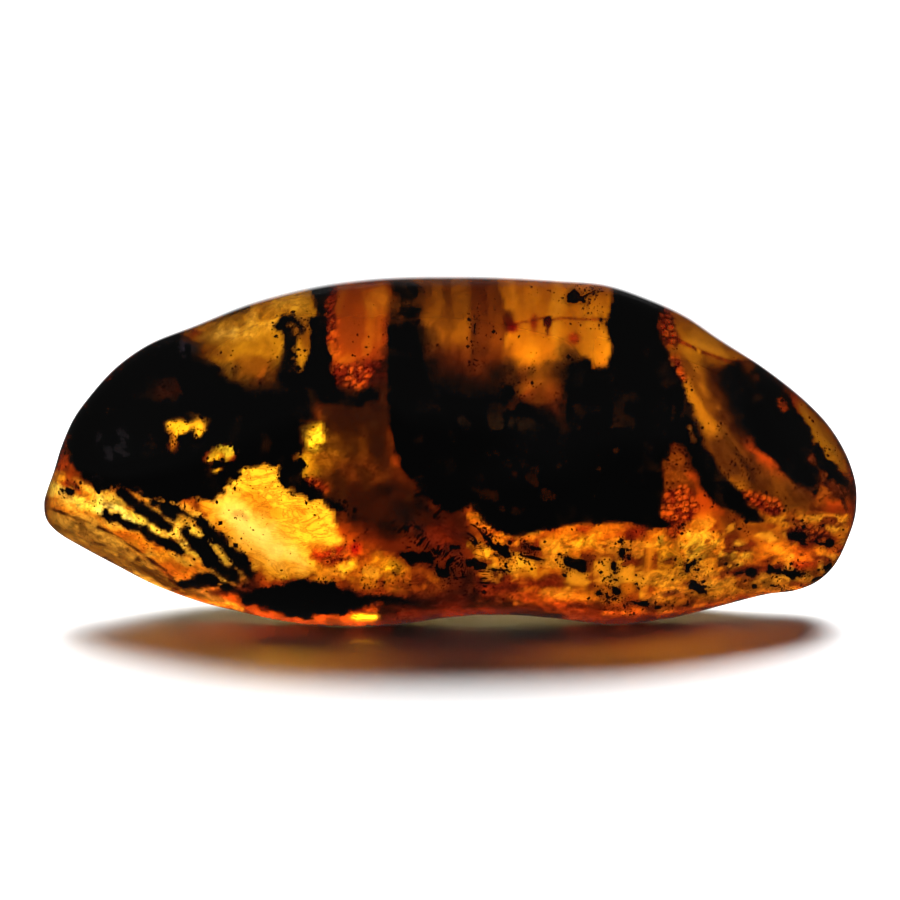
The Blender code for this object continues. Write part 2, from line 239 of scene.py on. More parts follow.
# The material's fine textures: scale, squeeze along X, turn in degrees, distortion and ramp of (place, colour)
FINE_TEXTURES = {
    "Red": (1500, 1.0, 0, 0.5, ((0.38, (0.004, 0.0003, 0.0)), (0.45, (0.30, 0.09, 0.02)), (0.53, (1, 1, 1)))),
    "Green": (560, 0.7, 0, 1.4, ((0.42, (0.01, 0.0004, 0.0)), (0.49, (0.34, 0.11, 0.02)), (0.55, (1, 1, 1)))),
    "Blue": (380, 0.35, -42, 2.6, ((0.42, (1, 1, 1)), (0.49, (0.24, 0.11, 0.04)), (0.57, (1, 1, 1)))),
}

# Each wash: shape, the two colours that its grain mixes, grain, softness and raggedness of its edge
WASHES = [
    (area(-47, -1, 47, -1, 47, 41, -47, 41), DEEP_ORANGE, BROWN, CLOUD, 1, 0),

    # upper left haze
    (area(-33, 33.5, -27, 36, -20, 38.5, -13, 39.8, -13.6, 30, -16, 25, -24, 24, -31, 26), HAZE, OCHRE, CLOUD,
        1.6, 0.8),
    (spot(-26.5, 33.4, 4.2, 0.9, 24), (240, 190, 90), (206, 150, 50), FINE, 0.7, 0.3),
    (spot(-29.6, 31.9, 1.7, 0.6, 26), GOLD, DEEP_ORANGE, FINE, 0.3, 0.3),
    (spot(-25, 32.6, 2.2, 0.8, 16), (252, 210, 116), (234, 182, 84), FINE, 0.7, 0.3),
    (spot(-20.6, 34.6, 3.6, 1.8, 22), (240, 184, 76), (204, 146, 42), FINE, 1.1, 0.4),
    (spot(-18, 35.6, 2.2, 2, 30), (222, 170, 64), (186, 132, 36), FINE, 1.1, 0.4),
    (spot(-20, 27.4, 2.2, 1.3, 14), (150, 92, 20), OCHRE, FINE, 0.5, 0.3),
    (area(-25, 26.5, -19.5, 26, -19.5, 24, -26, 24.4), BROWN, DARK_BROWN, FINE, 1.2, 0.6),
    # a grey-blue painted reflection on the dark of the left cloud
    (spot(-31.2, 30.2, 3.4, 1.1, 22), (46, 46, 54), DARK_BROWN, FINE, 0.7, 0.4),
    (spot(-24.3, 35.2, 1.5, 0.6, 24), OLIVE_BROWN, OLIVE, FINE, 0.5, 0.3),

    # column of red and peach
    (area(-13.4, 38.6, -6.6, 38.8, -6.2, 33, -6.8, 28, -13.4, 27), (172, 100, 20), (150, 70, 10), COLUMN, 0.5, 0.2),
    (spot(-10.9, 34.2, 1.55, 3.7, -4), PEACH, (146, 74, 14), COLUMN, 0.16, 0),
    (spot(-8.1, 36.6, 1.3, 1.7), (206, 134, 44), (184, 108, 22), COLUMN, 0.9, 0.2),
    (line(0.55, -13.1, 34, -12.9, 31, -13.3, 28.2), (196, 112, 30), DEEP_ORANGE, FINE, 0.4, 0.2),
    (area(-13.5, 28.2, -6.6, 30.4, -6.6, 26.5, -13.5, 26), RUST, DARK_BROWN, TINY, 1, 0.5),

    # olive gold below it
    (area(-17.2, 20.5, -15, 24, -12, 26.2, -7, 26.2, -6.6, 18, -4.5, 13.5, -10, 12, -16, 14.5), (98, 60, 11),
        (54, 30, 6), CLOUD, 1.2, 0.4),
    (area(-15, 27, -7, 27, -7, 21.5, -13, 22.5), DARK_BROWN, (58, 32, 6), CLOUD, 1.6, 0.4),
    (spot(-14, 18.6, 2.4, 1.9, 30), (156, 110, 26), OCHRE, FINE, 1.2, 0.4),
    (area(-17.2, 19.6, -15.8, 19.6, -14.6, 17.4, -15.4, 16, -17, 17), (206, 162, 44), (176, 126, 30), FINE, 0.5, 0.3),
    (spot(-9.8, 16.6, 3.4, 1.7, -10), (118, 66, 11), (92, 52, 10), FINE, 1, 0.4),

    # big bright yellow pool
    (area(-26.4, 17.2, -21, 18.2, -18.8, 17.9, -18.6, 16, -16, 14.6, -14.2, 13.2, -12.8, 11, -11.4, 8.4, -14, 5.4,
        -20.5, 4.4, -23, 7.5, -28.5, 12.5, -28.5, 14.2), (244, 186, 66), (222, 152, 44), FOLDED, 0.5, 0.5),
    (area(-27.5, 14.2, -24.6, 14.8, -21.6, 12.4, -18, 8.8, -15.8, 6.2, -20, 6.2, -25, 10.6), (250, 200, 112),
        (240, 184, 84), POOL, 1.4, 0.5),
    (area(-15.5, 8.6, -9.6, 9, -6, 8.5, -3, 6.5, -3.4, 3.2, -9, 3.4, -15.5, 4.4), (218, 142, 34), (164, 84, 14), FINE,
        0.7, 0.6),
    (spot(-11.8, 6.5, 1.5, 1, -15), YELLOW, BRIGHT, FINE, 0.5, 0.3),
    (spot(-6.2, 6, 2.4, 1.2, -30), BRIGHT, GOLD, TINY, 0.7, 0.4),
    (area(-11, 12.5, -2.5, 14.5, 2.2, 12, 2.6, 5, 2.8, 0, -4.4, 2, -4.6, 6, -10.4, 9), (104, 46, 9), (62, 27, 6), CLOUD,
        0.9, 0.6),
    (spot(-3.4, 4.4, 2.8, 1.5, -10), (196, 116, 28), (144, 72, 12), TINY, 0.7, 0.5),
    (spot(-0.8, 9.4, 2, 2), (112, 46, 10), (86, 34, 8), FINE, 0.9, 0.5),
    (area(-12.8, 15, -6, 16.4, -2.6, 14.6, -1.8, 12.6, -6.6, 9.6, -11.4, 11.4), (38, 19, 6), (60, 30, 8), CLOUD,
        1, 0.5),
    (line(0.75, -14.6, 7.4, -12.6, 7.9, -10.6, 8.2), RED, (210, 84, 20), TINY, 0.5, 0.3),

    # the foot left of the middle
    (area(-31, 4, -26, 2, -18, 0.6, -8, 0, 2, 0.8, 2, 2.6, -4, 3, -10, 3.6, -20, 4.4, -28, 6), (186, 88, 20),
        (74, 32, 7), LIP, 0.8, 0.5),
    (line(0.35, -10.6, 0.7, -8.6, 0.5, -7, 0.7), YELLOW, BRIGHT, TINY, 0.3, 0.1),
    (line(0.35, -14, 1, -11, 1.6, -7.5, 1.3, -3.5, 2), ORANGE, RUST, TINY, 0.4, 0.3),

    # lower left
    (area(-46, 17, -40, 15.5, -36, 15, -29, 13.6, -25.5, 9, -23, 4.8, -31, 2.6, -40, 7, -46.4, 11), (255, 196, 80),
        (228, 146, 44), LIP, 0.6, 0.4),
    (line(0.8, -45, 15.2, -42, 13.9, -39.5, 13, -36, 11.8, -33, 10.5, -30.2, 9, -28.6, 7.9), (255, 226, 120),
        (255, 206, 84), LIP, 0.35, 0.35),
    (area(-35.4, 13.2, -31.5, 12.6, -28, 12.6, -24.6, 8.6, -23.4, 6.8, -25.6, 6.4, -29.6, 10.3, -33, 10.8),
        (252, 200, 84), (238, 172, 58), LIP, 0.35, 0.35),
    (line(0.6, -44.6, 16.6, -42.6, 15.4, -40.8, 14.2), (214, 146, 40), DEEP_ORANGE, TINY, 0.4, 0.3),
    (area(-39, 10.8, -33.4, 9.8, -28.4, 6.2, -27, 4, -31.5, 4.2, -36.5, 7.4), (250, 164, 48), (216, 122, 28), FINE,
        0.6, 0.4),
    (area(-46.2, 13.2, -40, 10.8, -36, 8.2, -32, 5.4, -24, 1.8, -30, 2, -38, 5.4, -44.6, 9.2), (200, 146, 62),
        (142, 98, 38), LIP, 0.35, 0.2),
    (line(0.4, -44.5, 9.6, -40, 6.8, -35, 4.4, -30, 2.6), (206, 152, 84), (176, 116, 50), LIP, 0.4, 0.2),
    (line(0.3, -30.6, 3.2, -27.5, 2, -23.6, 1.4), (226, 160, 50), ORANGE, TINY, 0.3, 0.2),
    (line(0.16, -45.4, 12.9, -40, 11, -36, 8.6, -32, 5.8), (110, 60, 10), BROWN, TINY, 0.12, 0.05),

    # glints through the left cloud
    (area(-32.4, 23.4, -26.6, 23.6, -26.8, 20.6, -32, 20.8), (255, 214, 96), (250, 184, 52), POOL, 0.4, 0.3),
    (line(0.25, -31.4, 21.4, -31.1, 20.3, -31.3, 19.2), BRIGHT, GOLD, TINY, 0.2, 0.2),
    (spot(-26.4, 18.8, 1, 0.7, 40), YELLOW, BRIGHT, TINY, 0.3, 0.4),
    (spot(-24.8, 19, 0.7, 0.7), YELLOW, BRIGHT, TINY, 0.3, 0.4),
    (line(0.6, -26.4, 16.9, -25, 16.2, -23.6, 17.2), YELLOW, BRIGHT, TINY, 0.3, 0.4),
    (line(0.35, -26.2, 26.6, -25.2, 25.6), BROWN, DARK_BROWN, TINY, 0.3, 0.3),
    (spot(-31.8, 26.2, 1.8, 1.1, 10), (84, 40, 6), DARK_BROWN, TINY, 0.7, 0.4),
    (spot(-15.4, 21, 1.1, 1.4, 20), YELLOW, BRIGHT, TINY, 0.4, 0.4),

    # upper middle columns
    (area(-6.6, 39.2, 18.8, 39.2, 18.6, 27.5, 6, 27, -6, 27), (158, 102, 18), (122, 74, 12), COLUMN, 0.5, 0.2),
    (area(2.3, 39.2, 5.3, 38.4, 6.7, 33.4, 5.4, 27, 2.2, 27), (142, 82, 12), (118, 64, 9), COLUMN, 0.35, 0.1),
    (area(5.4, 39.2, 18.8, 39.2, 18.4, 29.2, 13, 28.2, 6.4, 25, 5.6, 29, 6.8, 33.4), (218, 146, 36), (196, 124, 24),
        COLUMN, 0.25, 0.1),
    (line(0.7, 12.2, 38.8, 12.2, 34, 12.4, 31), (226, 160, 58), (206, 134, 28), COLUMN, 0.7, 0.1),
    (line(0.25, 7.2, 38.6, 7.4, 35.2), (230, 160, 60), (206, 134, 28), COLUMN, 0.2, 0.1),
    (area(5.2, 29, 18.5, 28.4, 18.5, 26, 5.6, 26.4), (160, 90, 12), OCHRE, COLUMN, 1.3, 0.4),
    (area(-6.6, 38.2, -3, 38.2, -2.6, 31, -6.8, 29.5), (112, 72, 14), (78, 46, 9), CLOUD, 0.8, 0.4),
    # these two darken towards the middle cloud below: painted shade, where the light from above fades into it
    (area(-6, 31.4, 6.4, 30.8, 6.6, 26, -6, 26), (100, 52, 8), (74, 38, 6), COLUMN, 1.6, 0.3),
    (area(-6.6, 29.6, 0.5, 28.4, 5.6, 27.4, 6.5, 24, -6.6, 24), (52, 28, 5), DARK_BROWN, CLOUD, 1.8, 0.4),
    (line(0.12, 7, 33.6, 10.2, 34.2, 14, 34.3, 20, 34), (170, 84, 12), DEEP_ORANGE, TINY, 0.1, 0.02),
    (spot(6.7, 34, 0.55, 0.9), (96, 26, 6), DARK_BROWN, TINY, 0.4, 0.1),
    (spot(7.2, 33.3, 0.5, 0.5), RED, RUST, TINY, 0.4, 0.1),
    (spot(9.5, 33.6, 0.4, 0.8), (176, 70, 12), DEEP_ORANGE, TINY, 0.35, 0.1),
    (spot(11.1, 33.95, 0.6, 0.62), (104, 22, 6), (120, 30, 8), TINY, 0.12, 0.05),
    (line(0.2, 11.1, 33.6, 11.1, 32.5), (120, 40, 8), RUST, TINY, 0.15, 0.05),
    (spot(14.1, 32, 0.6, 0.6), (196, 84, 14), DEEP_ORANGE, TINY, 0.4, 0.1),

    # between the dark columns and the right end
    (area(23.8, 36, 27, 35, 33, 31.6, 37, 29, 33.5, 27.5, 31, 22, 33, 18, 36, 14, 40, 11, 33, 10, 26, 22, 25, 28),
        (192, 132, 34), (164, 104, 20), FLOW, 0.8, 0.3),
    (spot(26, 33.7, 1.5, 1.75, 20), (184, 122, 28), (168, 106, 22), FLOW, 0.2, 0.05),
    (line(0.18, 27.6, 34.4, 28.2, 33.2, 28, 31.8), (136, 72, 10), DEEP_ORANGE, TINY, 0.12, 0.05),
    (area(27.4, 34.8, 31, 32.8, 36.6, 29.6, 31.5, 29.4, 27.2, 31.2), (206, 144, 48), (190, 126, 34), FLOW, 0.5, 0.2),
    (line(0.2, 25.6, 31.9, 28.5, 30.5, 31.5, 29.4, 36.4, 29.2), (150, 84, 12), DEEP_ORANGE, TINY, 0.15, 0.05),
    (line(0.12, 28, 31, 28.8, 28.8), (222, 156, 50), GOLD, TINY, 0.1, 0.02),
    (area(28.6, 29.6, 33.6, 28.6, 33.4, 20, 30.4, 15, 27, 18, 28, 24), (92, 54, 9), (58, 28, 5), FLOW, 1.4, 0.3),
    (area(26.8, 25, 31.5, 23, 35, 16.8, 31, 16, 27.8, 20), (114, 72, 14), (82, 48, 9), FLOW, 0.9, 0.4),
    (area(33, 19.5, 36.6, 17, 41, 15, 43, 11.6, 35, 12.4, 32.4, 15.6), (116, 72, 14), (80, 46, 9), FLOW, 1, 0.4),
    (area(25.4, 30, 27.6, 29.6, 29.6, 25, 31, 21.4, 29.4, 20.6, 26.6, 25), (172, 116, 28), (128, 80, 16), FLOW,
        0.8, 0.3),
    (area(39.6, 25.4, 42.6, 22.6, 45, 18.6, 45.2, 15, 42.6, 16.4, 41.4, 20, 39.4, 23), (200, 140, 36), (170, 112, 24),
        FLOW, 0.5, 0.3),
    (area(40.6, 18.6, 44.8, 17, 45.6, 13.6, 41, 14), (146, 84, 14), (96, 50, 8), TINY, 0.6, 0.5),
    (area(23.9, 18.6, 26, 19, 28.2, 14.6, 26.6, 12.8, 23.6, 14.6), (138, 80, 14), (98, 50, 9), FINE, 0.5, 0.4),

    # lower middle
    (area(2.8, 12.2, 7, 10.2, 12, 11, 18, 11.6, 24, 11.6, 30, 12, 36, 11.5, 45.6, 12.5, 45.4, 6, 42, 3.6, 34, 1.8,
        24, 0.6, 14, 0.8, 3, 1), (218, 134, 30), (160, 70, 10), FINE, 0.5, 0.5),
    (area(2.6, 12.6, 4.6, 12.4, 7.4, 10.2, 9.6, 9.6, 9.6, 8.6, 6, 8.6, 2.6, 10.4), (226, 146, 34), (176, 84, 12), TINY,
        0.4, 0.4),
    (area(2.6, 9.2, 5.4, 8.4, 8.4, 7.2, 8.6, 5.6, 4, 6, 2.7, 7), (240, 176, 56), (214, 138, 34), TINY, 0.4, 0.4),
    (spot(9.4, 5.6, 1.6, 1.1, -10), (230, 160, 44), (196, 116, 20), COLUMN, 0.5, 0.4),
    (spot(13.6, 8.9, 2.4, 0.85, 14), (250, 184, 54), (220, 136, 28), TINY, 0.5, 0.4),
    (area(5.6, 3.2, 10, 3.6, 17.5, 3.2, 17, 1.9, 10, 1.9), (226, 146, 44), (166, 82, 16), FLAT_STREAK, 0.5, 0.4),
    (area(2.8, 5.2, 12, 5, 14, 3.8, 6, 3.6, 3, 3.6), (150, 62, 10), (96, 36, 6), FLAT_STREAK, 0.5, 0.4),
    (area(-8, 2.2, 2.8, 3.2, 9, 2, 16, 1, 16, -1, -8, -1), (96, 38, 7), DARK_BROWN, FLAT_STREAK, 0.7, 0.5),
    (area(12.6, 7, 18.6, 7.6, 22.4, 7.6, 22.4, 3, 16.6, 2.6, 13, 4), (196, 118, 20), (132, 78, 14), COLUMN, 0.6, 0.4),
    (spot(20.6, 9, 1.1, 2.2), (116, 44, 8), RUST, FINE, 0.8, 0.4),
    (line(0.35, 22.8, 8.6, 22.4, 5.6, 21.9, 3), (248, 190, 70), (220, 140, 40), COLUMN, 0.3, 0.2),
    (area(23, 10.2, 27, 10.6, 34.6, 10, 34, 6, 28, 5.4, 23.6, 5.2), (254, 190, 70), (238, 152, 40), TINY, 0.6, 0.5),
    (area(23.4, 8.4, 25.6, 8, 27.8, 6, 27, 4.2, 23, 4.4), (184, 118, 22), (232, 166, 48), TINY, 0.4, 0.5),
    (area(33.8, 9.6, 40, 8.4, 44.6, 8.6, 45.2, 6.2, 40, 6.6, 34.6, 6.4), (248, 152, 38), (222, 114, 22), FINE,
        0.6, 0.4),
    (area(34.6, 13, 38, 12.6, 45, 12, 44.6, 10, 38.6, 10.6, 35.4, 11), (228, 160, 44), (196, 118, 24), FLAT_STREAK,
        0.5, 0.3),
    (area(30, 12.4, 36, 10.8, 39.4, 9.4, 34.6, 8.2, 30, 10.4), (168, 98, 18), (126, 66, 11), FLOW, 0.8, 0.3),
    (area(24.8, 4.4, 35, 5.2, 43, 6.6, 44.6, 5.2, 42, 3.6, 34, 1.6, 24, 0.6, 22, 2.8), (226, 150, 44), (166, 96, 20),
        FLAT_STREAK, 0.4, 0.4),
    (line(0.3, 28.6, 4.8, 34, 6, 39, 6.2, 43.6, 7.2), (214, 110, 18), (160, 66, 10), FLAT_STREAK, 0.3, 0.2),
    (spot(43.6, 5.4, 1.5, 0.7, 42), (250, 190, 70), (226, 150, 50), TINY, 0.4, 0.3),
    (spot(40, 3.3, 2.8, 0.55, 8), (196, 116, 50), (160, 80, 26), TINY, 0.3, 0.2),
    (area(13, 2.4, 24, 2, 30, 2.6, 36, 3.4, 30, 1, 20, -1, 13, -1), (156, 78, 15), (96, 42, 8), FLAT_STREAK, 0.5, 0.3),
    (line(0.25, 17.5, 1, 24, 1.2, 30, 2, 36, 3.1), (214, 132, 40), (160, 76, 14), TINY, 0.3, 0.2),
]

# How far noise bends what is painted, the sizes of that noise and of frayed edges, how hard grains are, and the crust
BEND, BEND_SIZE, EDGE_SIZE = 0.5, 2.2, 1.1
GRAIN_SPREAD = 0.7
CRUST_CELL, CRUST_SPECK = 0.8, 0.7

# Flecks strewn over an area: its outline, softness, their size, how rare they are, colour, direction, how drawn out
FLECK_STRENGTH = 0.7
LOWER = area(3, 12.4, 24, 11.5, 46, 13, 45, 4.5, 24, 2.6, 3.4, 3.4)
FLECKS = [
    (area(-15, 9, -7.5, 8, -5.4, 5.5, -6, 3.4, -14, 3.8), 1.5, 1.2, 0.1, (250, 186, 70), -20, 1.4),
    (area(24, 9, 31, 7.6, 34, 5.6, 32, 2.6, 23, 2.4), 0.8, 1.1, 0.25, (84, 50, 10), 20, 1.6),
    (LOWER, 1.5, 1.7, 0, (250, 180, 64), 0, 1.4),
    (LOWER, 1.5, 1.4, 0.35, (110, 40, 7), 0, 1.6),
    (area(-46, 16, -30, 12, -24, 2, -36, 4, -46, 9), 1, 1, 0.1, (252, 190, 80), -28, 3),
    (area(-46, 16, -30, 12, -24, 2, -36, 4, -46, 9), 1, 0.8, 0.6, (84, 36, 8), -28, 2.5),
    (area(40, 19, 46, 18, 46, 12, 38, 13), 1, 0.8, 0.3, (60, 30, 6), 0, 1),
    (area(-17, 24, -7, 24, -4, 13, -14, 13), 1.5, 1.4, 0.4, (70, 44, 8), 0, 1),
]

# Red crust: shape, softness, raggedness
CRUSTS = [
    (spot(-10.6, 27.8, 1.45, 1.35), 0.3),
    (spot(-12.7, 28.6, 0.75, 0.65), 0.3),
    (line(0.55, -13.3, 38, -13.5, 35.5, -13.4, 32.4), 0.2),
    (spot(-14.2, 30.3, 0.35, 0.3), 0.1),
    (line(0.35, -15.8, 15.9, -15, 15.6, -14, 15.2), 0.2),
    (spot(-13.2, 7, 1.5, 0.7), 0.4),
    (line(0.7, 24.2, 35.6, 24.4, 33.8, 25, 32), 0.3),
    (line(0.3, 25.4, 29.8, 25.8, 28.6, 26.2, 27.6), 0.2),
    (area(24.4, 14.8, 27, 15, 28.4, 13, 27, 11, 25.4, 9.4, 23.8, 11), 0.5),
    (line(0.75, 32.6, 14, 34.6, 13.7, 36.8, 12.8), 0.3),
    (spot(40.4, 9.8, 2.1, 0.8, -6), 0.3),
]

# Dark debris, cloud by cloud: each shape and the raggedness of its edge
DEBRIS = {
    "debris_left": [
        (area(-43.2, 18.4, -42.9, 21, -41.6, 23.7, -39, 26.8, -36, 29.4, -33.6, 31, -31.2, 32.3, -29.4, 31.3,
            -28.6, 29.6, -25.6, 28.2, -24, 26.6, -21.6, 26.2, -19.8, 26.4, -17, 26.6, -15.2, 25, -15.4, 23, -16.7, 22.4,
            -16.9, 20, -17.4, 18.6, -16.8, 17.2, -16, 15.9, -14.2, 14.6, -12.2, 12.6, -12.4, 12, -14.3, 13.7,
            -15.7, 14.1, -17.8, 14.8, -19, 15.7, -19.2, 17.7, -21, 18, -23.4, 17.5, -24.6, 16.4, -25.4, 15, -27, 13.9,
            -33, 14, -35.4, 14.7, -36.6, 15.6, -40, 15.1, -41.6, 16.6), 0.45),
        (area(-19.3, 26, -18.9, 30, -18.6, 33.2, -17.6, 33.2, -17.2, 30, -16.4, 26), 0.35),
        (line(0.33, -19.4, 33.3, -18.7, 34.1, -17.7, 34.2, -16.9, 33.6, -16.6, 32.8), 0.25),
        (area(-15.6, 38.6, -13.5, 38.7, -14.2, 35, -14, 32, -13.4, 30, -13.4, 28, -12.6, 26.4, -10.5, 25.4, -8.2, 26.4,
            -8, 25, -12, 24.6, -15.5, 25, -17, 28, -15.7, 30.4, -15.4, 33, -15.9, 33.6, -15.8, 34.4, -14.9, 34.6,
            -15.2, 37), 0.3),
    ],
    "debris_middle": [
        (area(-6.9, 33.2, -4.6, 34.2, -3.4, 33, -2.8, 30, -1.8, 27.2, 0.5, 26, 5.6, 25.4, 6.2, 26.8, 7.4, 26.8, 7.8, 25,
            9.4, 24.4, 11, 23.4, 13.3, 21.5, 13.2, 28.4, 14.4, 29.6, 16, 29.4, 16.2, 28.6, 18, 28.5, 18.2, 31, 18, 33.8,
            18.4, 36, 18.8, 38.5, 21.4, 38, 24, 36.2, 23.2, 33.4, 24.2, 31, 25, 29, 26.2, 26.6, 28.6, 20, 30.6, 17,
            33.2, 14, 35.4, 11.6, 33.6, 11.6, 30, 13.4, 28.6, 15.4, 26.6, 19.8, 25.2, 20.4, 24.4, 18.6, 24.2, 15,
            23.6, 12.2, 24.8, 11, 22.4, 10.6, 20.6, 11.4, 17, 11.3, 12.2, 10.8, 8.4, 9.8, 6.2, 9.9, 3.6, 11.6, 2.2, 13,
            0.8, 12.6, -0.6, 12.7, -2.4, 14, -4.8, 16.8, -6.1, 19.6, -6.9, 25), 0.22),
        (area(-6.2, 38.4, -5.4, 38.5, -4.8, 37, -4.4, 35.6, -3.6, 35.2, -4.2, 34.3, -5.8, 34.6, -5.6, 36), 0.35),
        (line(0.3, -4.6, 37.9, -3.6, 37.4, -3.9, 36.8), 0.25),
    ],
    "debris_right": [
        (area(31.4, 28, 31.9, 25.6, 33.3, 22.2, 34.8, 20, 37, 17.8, 39.8, 15.2, 41.4, 15, 41.6, 16.8, 40.4, 18.2,
            41, 19.8, 40.6, 21.6, 39.2, 23.6, 38.2, 25.4, 36.2, 27.6, 34.8, 28.6, 33.4, 27.4, 32.6, 28.9), 0.3),
        (line(0.35, 41.2, 19.6, 42.2, 18.2, 43.6, 16.8, 44.6, 16), 0.5),
    ],
    "debris_foot": [
        (line(0.42, -37, 14.6, -36, 13.8, -34.8, 12.7, -33.2, 11.6, -31.8, 10.6), 0.3),
        (line(0.36, -38.6, 12.1, -36.8, 11.2, -35, 10.5, -33.4, 9.7, -31.8, 9, -30.6, 8), 0.4),
        (line(0.62, -29.8, 10, -28.2, 8.8, -27, 7.2, -25.6, 5.9, -24.4, 5), 0.4),
        (line(0.5, -28, 11.2, -26.4, 9.6, -25, 8.2, -23.4, 6.6, -22.4, 5.4), 0.4),
        (area(-30.4, 4.2, -28.8, 5.2, -26.8, 5.4, -26, 4.6, -27.4, 3.9, -29.6, 3.8), 0.35),
        (line(0.5, -25.2, 4, -23.2, 3.2, -21.4, 2.6, -19.6, 1.8), 0.5),
        (line(0.18, -33.4, 13.6, -31.4, 12.8, -29.4, 12, -28, 11.4), 0.3),
        (line(0.25, -32.4, 13, -31.2, 11.9), 0.3),
        (area(-24.2, 3.6, -20.4, 3.6, -18.4, 4.6, -15.4, 4.6, -12.8, 4, -11, 3, -9, 2.2, -11, 1.4, -14.5, 1, -18.2, 0.5,
            -20.4, 1.6, -23, 2.4), 0.5),
        (line(0.25, -9.6, 2.8, -6.4, 2.6, -3.6, 2.2), 0.4),
    ],
    "small_debris": [
        (line(0.55, -5.2, 7.4, -3.6, 7, -2.2, 7, -1.2, 5.8), 0.6),
        (spot(-0.9, 5.5, 0.8, 0.5), 0.4),
        (spot(0.6, 8.3, 0.55, 0.4), 0.3),
        (line(0.3, -4.6, 11.4, -3.6, 10.6), 0.4),
        (line(0.5, 2.3, 10.4, 3.8, 9.3, 5.2, 8.3, 6.6, 7.7), 0.5),
        (line(0.16, 6.2, 7.9, 8, 7.5, 10.6, 7), 0.2),
        (line(0.2, 8.6, 8.5, 10.2, 8.3), 0.3),
        (area(12.6, 7.1, 13.3, 7.5, 14.2, 7.25, 15, 7.35, 15.8, 7.1, 15.9, 6.2, 15.5, 5.5, 14.9, 5.5, 14.3, 6,
            13.3, 6.4), 0.3),
        (line(0.3, 2, 6.6, 3.6, 6.3), 0.5),
        (line(0.14, 4.2, 6, 6.2, 5.8), 0.3),
        (line(0.12, 2.6, 9, 2.5, 6.4, 2.8, 3, 3.2, 0.6), 0.05),
        (spot(19.3, 7.8, 0.55, 0.55), 0.3),
        (spot(18.6, 6.2, 0.35, 0.7), 0.3),
        (spot(18.9, 4.8, 0.5, 0.22, -10), 0.15),
        (spot(18.8, 3.4, 0.6, 0.5), 0.25),
        (line(0.22, 17, 3.2, 18.6, 2.6, 20.4, 2.3, 22.2, 2), 0.4),
        (spot(23.8, 1.7, 0.8, 0.25, 14), 0.15),
        (spot(26.6, 1.9, 0.5, 0.2, 10), 0.15),
        (spot(34.4, 4, 0.42, 0.38), 0.05),
        (spot(36.6, 4.1, 0.7, 0.3, -14), 0.2),
        (line(0.3, 32, 5.6, 36, 5.7, 40, 5.4, 43.2, 6.4), 0.6),
        (spot(41.6, 4.6, 0.8, 0.4, 20), 0.3),
        (spot(26.8, 6, 0.9, 0.35, 40), 0.8),
        (spot(27.4, 3.8, 1.2, 0.3, -10), 0.8),
        (line(0.12, 30.6, 21.8, 32.4, 19.2, 34, 16.8, 34.6, 14.6), 0.05),
        (spot(39.8, 9.6, 1.2, 0.55, -10), 0.4),
        (line(0.5, 40.6, 9, 43, 8.8), 0.4),
        (spot(14.1, 36.7, 0.8, 0.75), 0.35),
        (line(0.22, 14.8, 36.4, 15.5, 36.9, 16.8, 37.6), 0.12),
        (spot(15.2, 36.2, 0.4, 0.4), 0.2),
        (spot(17.1, 34.1, 0.25, 0.35), 0.1),
        (spot(17.7, 33.7, 0.25, 0.4), 0.1),
        (line(0.14, 3, 34.3, 2.8, 32.6), 0.15),
        (line(0.1, 2.7, 32, 2.5, 28.4), 0.12),
        (spot(9.5, 27.9, 0.2, 0.5, -30), 0.1),
        (spot(9, 27.2, 0.2, 0.4, -20), 0.1),
        (line(0.14, -24.2, 12.2, -23.6, 12.3, -23, 11.8), 0.05),
        (spot(-38.2, 13, 0.1, 0.1), 0.05),
        (line(0.25, -43.8, 15, -42.4, 14.6, -41.2, 14.2), 0.5),
        (line(0.25, -38.8, 12.2, -37.4, 12), 0.4),
    ],
}

# Gaps through the debris: shape and raggedness
GAPS = [
    (area(-32, 22.6, -30.8, 23.4, -29.5, 22.8, -28.3, 23.4, -26.9, 22.8, -27.3, 21.2, -28.4, 20.8, -29.2, 21.6,
        -30.4, 20.9, -31, 19.4, -31.7, 19.6, -31.6, 21.2), 0.35),
    (line(0.25, -29.5, 23.6, -28.6, 23.2), 0.2),
    (spot(-26.3, 18.8, 1.25, 1, 40), 0.55),
    (spot(-24.7, 19, 0.9, 1), 0.55),
    (spot(-26.2, 17.2, 0.8, 0.5), 0.4),
    (spot(-31.8, 26.4, 1.5, 0.9), 0.5),
    (spot(-17.5, 30.8, 0.5, 0.45), 0.3),
    (spot(-17.6, 29.8, 0.3, 0.25), 0.2),
    (spot(-15.6, 21.2, 0.9, 1.2, 20), 0.4),
    (spot(24.6, 17, 0.6, 1.4), 0.4),
    (line(0.3, 27, 22, 27.6, 20.6), 0.3),
    (spot(37.6, 24.6, 0.5, 0.8, 30), 0.4),
    (spot(34.8, 27.4, 0.7, 0.5), 0.4),
    (line(0.3, 7, 24.6, 8.2, 25.8, 8.8, 26.6), 0.3),
    (spot(-4.9, 36, 0.3, 0.4), 0.2),
]


# The clouds that are solids too
CAD_CLOUDS = ("debris_left", "debris_middle", "debris_right", "debris_foot")

# Where and how finely the resin is looked through, and how near its skin anything in it may lie
SIGHT_X, SIGHT_Z = (-47.0, 47.1), (-2.0, 41.1)
SIGHT_STEP = 0.5
SKIN_SHARE = 0.04

# The debris: its net, how frayed it is, how far its skin is set in, its holes, how thick and how lumpy it is
DEBRIS_X, DEBRIS_Z, DEBRIS_CELL = (-46, 46), (-0.4, 39.4), 0.16
FRAY_DEPTH, FRAY_SIZE = 1.5, 1.1
SKIN_INSET = 0.12
HOLE_LEVEL, HOLE_SIZE = 0.62, 1.6
DEBRIS_THICKNESS, DEBRIS_TAPER = 1.8, 2.2
LUMP_HEIGHT, LUMP_SIZE = 0.35, 1.4
SMALL_RAGGEDNESS = 0.6
